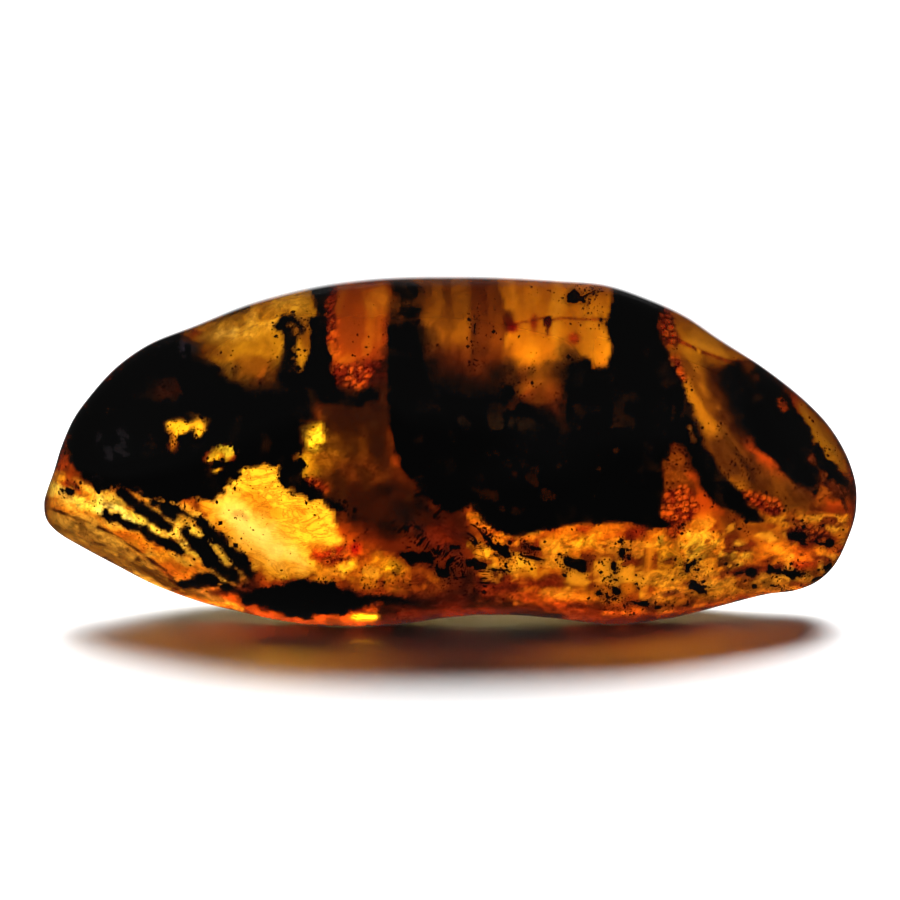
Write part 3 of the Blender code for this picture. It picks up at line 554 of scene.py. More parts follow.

# The painted shade and dark fringe around the debris: its reach in millimetres, its strength at small debris, and where
# it reaches further in a long soft fade
HALO_REACH = 0.45
SMALL_HALO = 0.25
LONG_SHADE_AREAS = [
    (area(-4, 33, 14, 33, 14, 22, -4, 22), 3.2),
    (area(-32, 33, -19, 29, -15, 26, -15, 20, -32, 24), 1.6),
    (area(29, 29, 34, 29, 34, 18, 29, 22), 1.2),
]

# Colours of the crust's cells, its texture, and tones in the dark: brown glimmers of the debris, and grey-blue painted
# reflections
CRUST_LINE = (92, 26, 7)
CRUST_MID = (150, 56, 11)
CRUST_LIGHT = (200, 104, 26)
CRUST_TEXTURE = (0.7, 0.5, 0)
GLIMMER = (40, 25, 11)
PAINTED_SHEENS_AND_GLIMMERS = [
    # the first two, grey-blue, are painted reflections on the dark front; the rest are brown tones of the debris
    (spot(-38.5, 19, 3.6, 2.6, 30), (32, 32, 37)),
    (spot(-31, 30.4, 3.4, 1.2, 24), (70, 68, 76)),
    (spot(-31.8, 26.2, 2, 1.3, 10), (62, 32, 8)),
    (spot(6.5, 22.5, 5.5, 1, -6), (48, 38, 30)),
    (spot(8, 15, 5, 2.6), (42, 23, 9)),
    (spot(17, 19.5, 3.2, 4.6), (50, 31, 15)),
    (spot(10, 26, 3, 1.6), (96, 58, 10)),
    (spot(36.8, 23, 2, 3.4, 30), (50, 31, 13)),
]

# Crumbs: the most there are, how many places are tried for each and where, their size and spread in depth
CRUMBS = 12000
CRUMB_TRIES = 10
CRUMB_X, CRUMB_Z = (-45.5, 45.5), (0.3, 38.6)
CRUMB_SIZE, CRUMB_SPREAD = 0.05, (0.35, 0.5)
CRUMB_DEPTH = 2.2

# Grains of red crust: how many to a square millimetre, where, their size, how far in front of the debris, their tones
CRUST_DENSITY = 14.0
CRUST_TRIES = 400000
CRUST_X, CRUST_Z, CRUST_FIELD = (-46, 46), (0, 39), 91.0 * 39.0
CRUST_SIZE, CRUST_SPREAD = 0.065, (0, 0.4)
CRUST_AHEAD = -2.6
CRUST_TONES = ((232, 60, 14), (190, 34, 8), (120, 18, 6), (60, 10, 5), (240, 110, 30))
CRUST_SHARES = (0.26, 0.30, 0.22, 0.14, 0.08)

# The material's fine noise, and the debris's grain
FINE_NOISE = {"Detail": 7, "Roughness": 0.66}
DEBRIS_NOISE = {"Scale": 900, "Detail": 5}
DEBRIS_RAMP = ((0.45, (0.004, 0.003, 0.0025)), (0.75, (0.03, 0.014, 0.006)))


def lattice(ix, iy, iz, seed):
    """A steady pseudo-random value from -1 to 1 for each whole-numbered place."""
    h = (ix * 374761393 + iy * 668265263 + iz * 1442695041 + seed * 1274126177) & 0xFFFFFFFF
    h = ((h ^ (h >> 13)) * 1274126177) & 0xFFFFFFFF
    return ((h ^ (h >> 16)) & 0xFFFF) / 32767.5 - 1


def value_noise(x, y, z, seed):
    """Smooth noise from -1 to 1 over unit cells."""
    ix, iy, iz = (np.floor(c).astype(np.int64) for c in (x, y, z))
    fx, fy, fz = (c - i for c, i in ((x, ix), (y, iy), (z, iz)))
    fx, fy, fz = (f * f * f * (f * (f * 6 - 15) + 10) for f in (fx, fy, fz))
    total = 0
    for dx in (0, 1):
        for dy in (0, 1):
            for dz in (0, 1):
                weight = (fx if dx else 1 - fx) * (fy if dy else 1 - fy) * (fz if dz else 1 - fz)
                total = total + weight * lattice(ix + dx, iy + dy, iz + dz, seed)
    return total


def turned(x, z, turn):
    """Points as measured along and across a direction, given in degrees."""
    c, s = math.cos(math.radians(turn)), math.sin(math.radians(turn))
    return x * c + z * s, z * c - x * s


def fractal(x, z, size, seed, octaves=4, turn=0.0, stretch=1.0):
    """Layered noise, about -1 to 1, with features of that size, drawn out along the direction of turn (degrees)."""
    u, v = turned(x, z, turn)
    u, v = u / (size * stretch), v / size
    total, gain = 0, 1.0
    for octave in range(octaves):
        total = total + gain * value_noise(u, v, np.full(np.shape(u), 0.37 * octave), seed + 17 * octave)
        u, v, gain = 1.62 * u - 1.22 * v + 5.1, 1.22 * u + 1.62 * v + 1.7, gain * 0.58
    return total


def smoothstep(low, high, value):
    """0 up to low, 1 from high on, and a smooth rise between them."""
    t = np.clip((value - low) / (high - low), 0, 1)
    return t * t * (3 - 2 * t)


def smooth_curve(points, at):
    """Values at `at` on the smooth curve through (x, value) points, with slopes that never overshoot."""
    x, v = (np.array(c, float) for c in zip(*points))
    step, rise = np.diff(x), np.diff(v)
    slope = rise / step
    inner = np.where(
        slope[:-1] * slope[1:] > 0,
        (slope[:-1] * step[1:] + slope[1:] * step[:-1]) / (step[:-1] + step[1:]),
        0.0,
    )
    tangent = np.concatenate([slope[:1], inner, slope[-1:]])
    i = np.clip(np.searchsorted(x, at) - 1, 0, len(step) - 1)
    t = (at - x[i]) / step[i]
    return (
        v[i] * (1 + 2 * t) * (1 - t) ** 2
        + tangent[i] * step[i] * t * (1 - t) ** 2
        + v[i + 1] * t * t * (3 - 2 * t)
        - tangent[i + 1] * step[i] * t * t * (1 - t)
    )


def turn_of(x):
    """The angle that stands for x, 0 at the pointed tip and pi at the blunt one."""
    return np.arccos(np.clip(-np.asarray(x, float) / HALF_LENGTH, -1, 1))


def along(points, turn):
    """Reads a table of (x, value) points at the stations' angles."""
    return smooth_curve([(float(turn_of(x)), value) for x, value in points], turn)


def distance_to_path(x, z, path):
    """How far each point lies from a path of (x, z) points."""
    nearest = np.full(np.shape(x), np.inf)
    for (ax, az), (bx, bz) in zip(path, path[1:]):
        dx, dz = bx - ax, bz - az
        share = np.clip(((x - ax) * dx + (z - az) * dz) / (dx * dx + dz * dz), 0, 1)
        nearest = np.minimum(nearest, np.hypot(x - ax - share * dx, z - az - share * dz))
    return nearest


def within_area(x, z, outline):
    """How far inside an outline each point lies, negative outside."""
    closed = outline + outline[:1]
    inside = np.zeros(np.shape(x), bool)
    for (ax, az), (bx, bz) in zip(closed, closed[1:]):
        crosses = (az > z) != (bz > z)
        at = ax + (z - az) * (bx - ax) / np.where(bz == az, 1e-9, bz - az)
        inside ^= crosses & (x < at)
    away = distance_to_path(x, z, closed)
    return np.where(inside, away, -away)


def within(x, z, shape):
    """How far inside a shape each point lies, in millimetres, negative outside."""
    kind = shape[0]
    if kind == "area":
        return within_area(x, z, shape[1])
    if kind == "line":
        return shape[1] - distance_to_path(x, z, shape[2])
    _, cx, cz, wide, high, turn = shape
    u, v = turned(x - cx, z - cz, turn)
    r = np.hypot(u / wide, v / high)
    return (1 - r) * min(wide, high)


def cells(x, z, size, seed):
    """A net of cells: 0 on the lines between them, rising towards 1 inside each one."""
    x, z = x / size, z / size
    ix, iz = np.floor(x).astype(np.int64), np.floor(z).astype(np.int64)
    nearest, second = np.full(np.shape(x), 9.0), np.full(np.shape(x), 9.0)
    for dx in (-1, 0, 1):
        for dz in (-1, 0, 1):
            cx = ix + dx + 0.5 + 0.42 * lattice(ix + dx, iz + dz, 0 * ix, seed)
            cz = iz + dz + 0.5 + 0.42 * lattice(ix + dx, iz + dz, 0 * ix, seed + 137)
            away = np.hypot(x - cx, z - cz)
            nearest, second = np.minimum(nearest, away), np.minimum(second, np.maximum(nearest, away))
    return np.clip(second - nearest, 0, 1)


def mixed(below, above, share):
    """One colour over another, by a share from 0 to 1 at each point."""
    return np.asarray(below, float) * (1 - share) + np.asarray(above, float) * share


def seen_colour(x, z, seed=11):
    """What is seen at each point of the photograph's plane: its colour, 0 to 255, and its grit, mottle and folds."""
    colour, texture = np.zeros(np.shape(x) + (3,)), np.zeros(np.shape(x) + (3,))
    bend = BEND * fractal(x, z, BEND_SIZE, seed + 5, 3)
    edge = fractal(x, z, EDGE_SIZE, seed + 3)
    grains = {}
    for shape, first, second, grain, soft, ragged in WASHES:
        if grain not in grains:
            size, turn, stretch, _ = grain
            value = fractal(x + bend, z - bend, size, seed + len(grains) * 31, 3, turn, stretch)
            grains[grain] = smoothstep(-GRAIN_SPREAD, GRAIN_SPREAD, value)[..., None]
        mask = smoothstep(-soft, soft, within(x, z, shape) + ragged * edge)[..., None]
        colour, texture = mixed(colour, mixed(first, second, grains[grain]), mask), mixed(texture, grain[3], mask)
    for shape, soft, size, level, tone, turn, stretch in FLECKS:
        mask = smoothstep(-soft, soft, within(x, z, shape))
        value = fractal(x + bend, z, size, seed + int(100 * level), 3, turn, stretch)
        mask = (mask * (FLECK_STRENGTH * smoothstep(level, level + 0.5, value)))[..., None]
        colour = mixed(colour, tone, mask)
    net = smoothstep(0.05, 0.45, cells(x + 0.4 * bend, z, CRUST_CELL, seed + 9))[..., None]
    speck = smoothstep(-0.2, 0.6, fractal(x, z, CRUST_SPECK, seed + 13))[..., None]
    crust = mixed(CRUST_LINE, mixed(CRUST_LIGHT, CRUST_MID, speck), net)
    for shape, ragged in CRUSTS:
        mask = smoothstep(-0.5, 0.25, within(x, z, shape) + 0.8 * ragged * edge)[..., None]
        colour, texture = mixed(colour, crust, mask), mixed(texture, CRUST_TEXTURE, mask)
    return colour, texture


def shaded(colour, x, z, seed=41):
    """The colour with the clouds' own dark over it, carried past their edges as painted shade and dark fringe, far in a
    soft fade in the long-shade areas and in a short halo elsewhere; grey sheens in that dark are painted reflections.
    """
    lumps = fractal(x, z, 2.6, seed, 5)
    # how far the painted shade reaches past the clouds
    reach = HALO_REACH + sum(far * smoothstep(-2.0, 1.5, within(x, z, shape)) for shape, far in LONG_SHADE_AREAS)
    field = darkness(x, z, CAD_CLOUDS, raggedness=0.5) + 0.2 * reach * lumps
    mask = smoothstep(-reach, 0.25 * reach, field)[..., None]
    small = smoothstep(-0.5, 0.1, darkness(x, z, ("small_debris",), SMALL_RAGGEDNESS))[..., None] * SMALL_HALO
    mask = np.maximum(mask, small)
    dim = smoothstep(-0.1, 0.9, fractal(x, z, 1.7, seed + 7, 5))[..., None]
    dark = mixed(BLACK, GLIMMER, dim)
    for shape, tone in PAINTED_SHEENS_AND_GLIMMERS:
        soft = smoothstep(-0.6, 0.8, within(x, z, shape) + 0.5 * lumps)[..., None]
        dark = mixed(dark, tone, soft)
    return mixed(colour, dark, mask)


def darkness(x, z, clouds=tuple(DEBRIS), raggedness=1.0, seed=5):
    """How far inside those clouds of debris each point lies, in millimetres, negative outside."""
    fine = FRAY_DEPTH * fractal(x, z, FRAY_SIZE, seed, octaves=6)
    field = np.full(np.shape(x), -9.0)
    for cloud in clouds:
        for shape, ragged in DEBRIS[cloud]:
            field = np.maximum(field, within(x, z, shape) + raggedness * ragged * fine)
    for shape, ragged in GAPS:
        field = np.minimum(field, -within(x, z, shape) - raggedness * ragged * fine * 0.8)
    return field


def linear(colour):
    """Screen colour, 0 to 255, as light, 0 to 1."""
    share = np.asarray(colour, float) / 255
    return np.where(share <= 0.04045, share / 12.92, ((share + 0.055) / 1.055) ** 2.4)


def pressed_in(x, z, face):
    """How far the hollows and creases of one face (-1 front, 1 back) push a point in, in millimetres."""
    push = np.zeros(np.shape(x))
    for side, cx, cz, wide, high, depth in HOLLOWS:
        away = ((x - cx) / wide) ** 2 + ((z - cz) / high) ** 2
        push += np.where(side == face, depth * np.exp(-away), 0)
    for side, half_width, depth, path in CREASES:
        away = (distance_to_path(x, z, path) / half_width) ** 2
        push += np.where(side == face, depth * np.exp(-away), 0)
    return push


def ground_flat(points):
    """Presses what stands proud of each facet's plane back to it, with a soft edge."""
    for normal, reach in FACETS:
        normal = np.array(normal) / np.linalg.norm(normal)
        proud = (points - FACET_CENTRE) @ normal - reach
        pressed = FACET_SOFTNESS * np.logaddexp(0, proud / FACET_SOFTNESS)
        points = points - pressed[..., None] * normal
    return points


def unevenness(points):
    """Slow waves of a hand-polished surface, from -1 to 1 at each point."""
    flat = (points / WAVE_LENGTH).reshape(-1, 3)
    return np.array([noise.noise(Vector(p)) for p in flat]).reshape(points.shape[:-1])


def section(angle):
    """A ring's rounded outline: how far out to the back and how far up it is at each angle, from -1 to 1."""
    out, up = -np.cos(angle), np.sin(angle)
    return np.sign(out) * np.abs(out) ** (2 / SECTION_POWER), np.sign(up) * np.abs(up) ** (2 / SECTION_POWER)


def ring_angles():
    """Angles around a ring, evenly spaced on its outline, and closer together in front and over the top."""
    angle = np.linspace(-math.pi / 2, 3 * math.pi / 2, 40001)
    out, up = section(angle)
    step = np.hypot(np.diff(RING_HALF_DEPTH * out), np.diff(RING_HALF_HEIGHT * up))
    step = step * np.where(angle[1:] < FRONT_END, FRONT_FINENESS, 1.0)
    length = np.concatenate([[0], np.cumsum(step)])
    return np.interp(np.linspace(0, length[-1], RING_POINTS, endpoint=False), length, angle)


def rings():
    """The loft's rings, tip to tip, as an array of rings by ring points by (x, y, z), in millimetres."""
    share = np.linspace(-1, 1, STATIONS + 1)[:, None]
    crowded = (1 - END_CROWDING) * share + END_CROWDING * np.sin(math.pi / 2 * share)
    turn = turn_of(HALF_LENGTH * crowded)
    top, bottom = along(SKYLINE, turn), along(UNDERLINE, turn)
    middle, half_height = (top + bottom) / 2, (top - bottom) / 2
    fullness = along(FULLNESS, turn)

    out, up = section(ring_angles()[None, :])
    depth = np.where(out < 0, FRONT_DEPTH, BACK_DEPTH) * fullness
    y = out * depth * (1 - BELLY_HEIGHT * up)
    sloped = up * (1 - LEAN * (1 + out))
    z = middle + half_height * np.where(up > 0, sloped / sloped.max(), up)
    x = np.broadcast_to(-HALF_LENGTH * np.cos(turn), y.shape)

    points = ground_flat(np.stack([x, y, z], axis=-1))
    x, y, z = points[..., 0], points[..., 1], points[..., 2]
    relief = pressed_in(x, z, np.sign(out)) - WAVE_HEIGHT * unevenness(points)
    y = y - relief * out * np.sqrt(fullness) + along(SWAY, turn)
    return np.stack([x, y, z], axis=-1)


def fitted_to_frame(points):
    """Points moved and scaled so that their box is the CAD solids' own box."""
    low, high = points.min(axis=0), points.max(axis=0)
    frame_low, frame_high = (np.array(corner) for corner in cad_box)
    return frame_low + (points - low) / (high - low) * (frame_high - frame_low)


def resin_mesh():
    """The stone's surface as one closed fine mesh in metres, cut level underneath."""
    grid = rings()
    bm = bmesh.new()
    ring_verts = [[bm.verts.new(point * MM) for point in ring] for ring in grid[1:-1]]
    first, last = (bm.verts.new(ring.mean(axis=0) * MM) for ring in (grid[0], grid[-1]))
    for i in range(RING_POINTS):
        j = (i + 1) % RING_POINTS
        bm.faces.new((first, ring_verts[0][i], ring_verts[0][j]))
        bm.faces.new((last, ring_verts[-1][j], ring_verts[-1][i]))
        for near, far in zip(ring_verts, ring_verts[1:]):
            bm.faces.new((near[i], far[i], far[j], near[j]))
    bmesh.ops.recalc_face_normals(bm, faces=bm.faces)
    cut = bmesh.ops.bisect_plane(
        bm, geom=bm.verts[:] + bm.edges[:] + bm.faces[:],
        plane_co=(0, 0, 0), plane_no=(0, 0, -1), clear_outer=True, dist=1e-7,
    )
    rim = [e for e in cut["geom_cut"] if isinstance(e, bmesh.types.BMEdge)]
    bmesh.ops.contextual_create(bm, geom=rim)
    open_rim = [e for e in bm.edges if e.is_boundary]
    if open_rim:
        bmesh.ops.holes_fill(bm, edges=open_rim)
    bmesh.ops.recalc_face_normals(bm, faces=bm.faces)
    mesh = bpy.data.meshes.new("amber_resin")
    bm.to_mesh(mesh)
    bm.free()
    corners = np.empty(len(mesh.vertices) * 3)
    mesh.vertices.foreach_get("co", corners)
    mesh.vertices.foreach_set("co", fitted_to_frame(corners.reshape(-1, 3)).ravel())
    mesh.shade_smooth()
    mesh.set_sharp_from_angle(angle=math.radians(50))
    mesh.update()
    return mesh


def camera_axes():
    """The camera's place and its right, up and forward directions."""
    back = np.array([0, -math.cos(CAMERA_ELEVATION), math.sin(CAMERA_ELEVATION)])
    right = np.array([1.0, 0.0, 0.0])
    return np.array(CAMERA_TARGET) + CAMERA_DISTANCE * back, right, np.cross(back, right), -back


def seen_at(points):
    """Where the camera sees points given in metres: x and z on the photograph's plane, in millimetres."""
    eye, right, up, ahead = camera_axes()
    away = points - eye
    column = PHOTO_WIDTH / 2 + (away @ right) / (away @ ahead) * FOCAL_PIXELS
    row = PHOTO_WIDTH / 2 - (away @ up) / (away @ ahead) * FOCAL_PIXELS
    return (column - PHOTO_ORIGIN[0]) / PIXELS_PER_MM, (PHOTO_ORIGIN[1] - row) / PIXELS_PER_MM


def with_neighbours(grid, **padding):
    """A grid and its eight neighbours, as nine shifted grids."""
    padded = np.pad(grid, ((1, 1), (1, 1), (0, 0)), **padding)
    return np.stack([padded[i:i + grid.shape[0], j:j + grid.shape[1]] for i in range(3) for j in range(3)])


def filled_in(grid):
    """A smoothed grid whose missing places take the mean of the known places beside them, and so on outwards."""
    grid = grid.copy()
    while np.isnan(grid).any():
        beside = with_neighbours(grid, constant_values=np.nan)
        known = ~np.isnan(beside)
        mean = np.where(known, beside, 0).sum(axis=0) / np.maximum(known.sum(axis=0), 1)
        missing = np.isnan(grid) & known.any(axis=0)
        grid[missing] = mean[missing]
    return with_neighbours(grid, mode="edge").mean(axis=0)


class LookInside:
    """Follows the camera's sight lines through the front of the resin, bent as the resin bends them."""

    def __init__(self, mesh):
        tree = BVHTree.FromPolygons([v.co for v in mesh.vertices], [p.vertices for p in mesh.polygons])
        eye, right, up, ahead = camera_axes()
        xs, zs = np.arange(*SIGHT_X, SIGHT_STEP), np.arange(*SIGHT_Z, SIGHT_STEP)
        grid = np.full((len(xs), len(zs), 7), np.nan)
        for i, x in enumerate(xs):
            for j, z in enumerate(zs):
                across = (PHOTO_ORIGIN[0] + x * PIXELS_PER_MM - PHOTO_WIDTH / 2) / FOCAL_PIXELS
                rise = (PHOTO_WIDTH / 2 - PHOTO_ORIGIN[1] + z * PIXELS_PER_MM) / FOCAL_PIXELS
                sight = Vector(ahead + across * right + rise * up).normalized()
                entry, normal, _, _ = tree.ray_cast(Vector(eye), sight)
                if entry is None:
                    continue
                cosine = -sight.dot(normal)
                ratio = 1 / AMBER_IOR
                bent = ratio * sight + (ratio * cosine - math.sqrt(1 - ratio ** 2 * (1 - cosine ** 2))) * normal
                leaving = tree.ray_cast(entry + bent * 1e-5, bent)[0]
                if leaving is not None:
                    grid[i, j] = (*entry, *bent, (leaving - entry).length)
        self.grid = filled_in(grid)

    def at(self, x, z, share):
        """The point a share of the way through the resin that the camera sees at (x, z)."""
        i = np.clip((x - SIGHT_X[0]) / SIGHT_STEP, 0, self.grid.shape[0] - 1.001)
        j = np.clip((z - SIGHT_Z[0]) / SIGHT_STEP, 0, self.grid.shape[1] - 1.001)
        a, b = i.astype(int), j.astype(int)
        u, v = (i - a)[..., None], (j - b)[..., None]
        row = (
            self.grid[a, b] * (1 - u) * (1 - v) + self.grid[a + 1, b] * u * (1 - v)
            + self.grid[a, b + 1] * (1 - u) * v + self.grid[a + 1, b + 1] * u * v
        )
        return row[..., :3] + row[..., 3:6] * row[..., 6:] * share[..., None]

    def by_parting(self, x, z, beyond):
        """The point that far beyond the parting surface (millimetres in Y) that the camera sees at (x, z)."""
        entry, leaving = self.at(x, z, np.zeros(np.shape(x))), self.at(x, z, np.ones(np.shape(x)))
        share = np.full(np.shape(x), 0.25)
        for _ in range(3):
            across = (entry[..., 0] + share * (leaving - entry)[..., 0]) / MM
            depth = (np.interp(across, *zip(*PARTING)) + beyond) * MM
            share = (depth - entry[..., 1]) / (leaving - entry)[..., 1]
        return entry + np.clip(share, SKIN_SHARE, 1 - SKIN_SHARE)[..., None] * (leaving - entry)


def mesh_from(name, points, faces):
    """A mesh of those points, in metres, and faces."""
    mesh = bpy.data.meshes.new(name)
    mesh.from_pydata(points.tolist() if hasattr(points, "tolist") else points, [], faces)
    mesh.update()
    return mesh


def debris_mesh(inside, cloud):
    """One cloud of debris as a lumpy skin, thin at its ragged edges, laid where the camera sees it."""
    x, z = np.meshgrid(np.arange(*DEBRIS_X, DEBRIS_CELL), np.arange(*DEBRIS_Z, DEBRIS_CELL), indexing="ij")
    field = darkness(x, z, (cloud,), 1.0 if cloud in CAD_CLOUDS else SMALL_RAGGEDNESS) - SKIN_INSET
    if cloud in CAD_CLOUDS:
        field = np.minimum(field, 2.0 * (HOLE_LEVEL - fractal(x, z, HOLE_SIZE, 61, 6)))
    full = field > 0
    kept = full[:-1, :-1] | full[1:, :-1] | full[:-1, 1:] | full[1:, 1:]
    used = np.zeros(full.shape, bool)
    for a in (slice(None, -1), slice(1, None)):
        for b in (slice(None, -1), slice(1, None)):
            used[a, b] |= kept
    edge = used & ~full
    gx, gz = np.gradient(field, DEBRIS_CELL)
    slide = np.where(edge, np.clip(-field / (gx ** 2 + gz ** 2 + 0.05), 0, DEBRIS_CELL), 0)
    x, z = x + slide * gx, z + slide * gz

    half = DEBRIS_THICKNESS * (1 - np.exp(-np.maximum(field, 0) / DEBRIS_TAPER))
    lumps = LUMP_HEIGHT * fractal(x, z, LUMP_SIZE, 73, 3) * np.minimum(np.maximum(field, 0), 1)
    near = inside.by_parting(x, z, lumps - half)
    far = inside.by_parting(x, z, lumps + half)

    number = np.full(full.shape, -1)
    number[used] = np.arange(used.sum())
    behind = number.copy()
    behind[full] = used.sum() + np.arange(full.sum())
    points = np.concatenate([near[used], far[full]])
    i, j = np.nonzero(kept)
    corners = ((i, j), (i + 1, j), (i + 1, j + 1), (i, j + 1))
    front = np.stack([number[c] for c in corners], axis=1)
    back = np.stack([behind[c] for c in reversed(corners)], axis=1)
    return mesh_from(cloud, points, np.concatenate([front, back]).tolist())


def scattered(template, faces, centres, sizes, turns, stretch):
    """Copies of a small solid: its points and faces, then each copy's centre, size, turn and stretch."""
    cos, sin = np.cos(turns), np.sin(turns)
    spin = np.zeros((len(centres), 3, 3))
    spin[:, 0, 0] = cos[:, 0] * cos[:, 1]
    spin[:, 0, 1] = -sin[:, 0]
    spin[:, 0, 2] = cos[:, 0] * sin[:, 1]
    spin[:, 1, 0] = sin[:, 0] * cos[:, 1]
    spin[:, 1, 1] = cos[:, 0]
    spin[:, 1, 2] = sin[:, 0] * sin[:, 1]
    spin[:, 2, 0] = -sin[:, 1]
    spin[:, 2, 2] = cos[:, 1]
    shaped = template[None] * stretch[:, None, :] * sizes[:, None, None]
    points = centres[:, None, :] + np.einsum("nij,nkj->nki", spin, shaped)
    offsets = np.arange(len(centres))[:, None, None] * len(template)
    return points.reshape(-1, 3), (faces[None] + offsets).reshape(-1, faces.shape[1])


OCTAHEDRON = np.array([(1, 0, 0), (-1, 0, 0), (0, 1, 0), (0, -1, 0), (0, 0, 1), (0, 0, -1)], float)
OCTAHEDRON_FACES = np.array([(0, 2, 4), (2, 1, 4), (1, 3, 4), (3, 0, 4), (2, 0, 5), (1, 2, 5), (3, 1, 5), (0, 3, 5)])


def grains_mesh(name, rng, centres, size, spread, stretch):
    """Small turned and drawn-out grains at those centres, of a size in millimetres that varies by (mean, spread)."""
    count = len(centres)
    sizes = size * np.exp(rng.normal(*spread, count)) * MM
    turns = rng.uniform(0, 2 * math.pi, (count, 2))
    points, faces = scattered(
        OCTAHEDRON, OCTAHEDRON_FACES, centres, sizes, turns, rng.uniform(*stretch, (count, 3)),
    )
    return mesh_from(name, points, faces.tolist())


def crumb_mesh(inside):
    """Loose crumbs of debris, thickest beside the clouds."""
    rng = np.random.default_rng(21)
    tries = CRUMBS * CRUMB_TRIES
    x, z = rng.uniform(*CRUMB_X, tries), rng.uniform(*CRUMB_Z, tries)
    field = darkness(x, z)
    near = np.exp(np.minimum(field, 0) / 0.55) * (field < 0.05)
    patchy = smoothstep(-0.1, 0.6, fractal(x, z, 2.2, 91, 3))
    low = smoothstep(14, 9, z) * smoothstep(-16, -4, x)
    chance = 0.55 * near * (0.3 + patchy) + 0.02 * patchy * (1 + 9 * low)
    keep = np.nonzero(rng.uniform(0, 1, tries) < chance)[0][:CRUMBS]
    x, z = x[keep], z[keep]
    centres = inside.by_parting(x, z, rng.normal(0, CRUMB_DEPTH, len(x)))
    return grains_mesh("debris_crumbs", rng, centres, CRUMB_SIZE, CRUMB_SPREAD, (0.5, 1.5))


def crust_mesh(inside):
    """Grains of red crust, packed where the resin has oxidised."""
    rng = np.random.default_rng(22)
    spots = []
    for shape, ragged in CRUSTS:
        x, z = rng.uniform(*CRUST_X, CRUST_TRIES), rng.uniform(*CRUST_Z, CRUST_TRIES)
        field = within(x, z, shape)
        close = np.nonzero(field > -1.0)[0]
        x, z = x[close], z[close]
        field = field[close] + ragged * fractal(x, z, 0.8, 95, 3)
        covered = CRUST_FIELD / CRUST_TRIES * np.count_nonzero(field > 0)
        chosen = np.nonzero(field > 0)[0][:max(4, int(CRUST_DENSITY * covered))]
        spots.append(np.stack([x[chosen], z[chosen]], axis=1))
    spots = np.concatenate(spots)
    count = len(spots)
    centres = inside.by_parting(spots[:, 0], spots[:, 1], rng.normal(CRUST_AHEAD, 0.5, count))
    mesh = grains_mesh("red_crust", rng, centres, CRUST_SIZE, CRUST_SPREAD, (0.6, 1.4))
    tones = np.array([linear(tone) for tone in CRUST_TONES])
    picks = rng.choice(len(tones), count, p=CRUST_SHARES)
    store_colour(mesh, "tone", np.repeat(tones[picks], len(OCTAHEDRON), axis=0))
    return mesh


def store_colour(mesh, name, colours):
    """Stores a red, green and blue value at each point of a mesh."""
    rows = np.ones((len(mesh.vertices), 4), np.float32)
    rows[:, :3] = colours
    mesh.color_attributes.new(name, "FLOAT_COLOR", "POINT").data.foreach_set("color", rows.ravel())


def paint_resin(mesh):
    """Gives each point of the front the tint and texture laid out above, and the back a clear, ground finish."""
    count = len(mesh.vertices)
    points, normals = np.empty(count * 3), np.empty(count * 3)
    mesh.vertices.foreach_get("co", points)
    mesh.vertices.foreach_get("normal", normals)
    points, normals = points.reshape(-1, 3), normals.reshape(-1, 3)
    x, z = seen_at(points)
    eye = camera_axes()[0]
    towards = eye - points
    towards /= np.linalg.norm(towards, axis=1, keepdims=True)
    facing = np.einsum("ij,ij->i", normals, towards)
    front = smoothstep(TINT_FROM, TINT_TO, facing)[:, None]

    seen, texture = seen_colour(x, z)
    seen = shaded(seen, x, z)
    tint = np.clip(linear(seen) / np.array(CLEAR_TINT), 0, 1)
    rough = POLISH + GRINDING * smoothstep(GROUND_FROM, GROUND_TO, facing)
    attribute = mesh.attributes.new("roughness", "FLOAT", "POINT")
    attribute.data.foreach_set("value", rough.astype(np.float32))
    store_colour(mesh, "tint", mixed(linear(REAR_TINT), tint ** np.array(TINT_POWER), front))
    store_colour(mesh, "texture", texture * front)


def add_node(tree, kind, inputs, **settings):
    """Adds a shader node: its settings first, then a value or a link for each of those inputs."""
    node = tree.nodes.new("ShaderNode" + kind)
    for name, value in settings.items():
        setattr(node, name, value)
    set_inputs(tree, node, inputs)
    return node


def set_inputs(tree, node, inputs):
    """Links or sets each of those inputs."""
    for name, value in inputs.items():
        if isinstance(value, bpy.types.NodeSocket):
            tree.links.new(value, node.inputs[name])
        else:
            node.inputs[name].default_value = value


def add_ramp(tree, value, stops):
    """Colours a value by a ramp of (place, colour) stops, and returns its colour."""
    ramp = add_node(tree, "ValToRGB", {"Fac": value})
    elements = ramp.color_ramp.elements
    while len(elements) < len(stops):
        elements.new(0.5)
    for element, (position, tone) in zip(elements, stops):
        element.position, element.color = position, (*tone, 1)
    return ramp.outputs["Color"]


def new_material(name):
    """A material, its node tree and its shader."""
    material = bpy.data.materials.new(name)
    material.use_nodes = True
    tree = material.node_tree
    return material, tree, tree.nodes["Principled BSDF"]


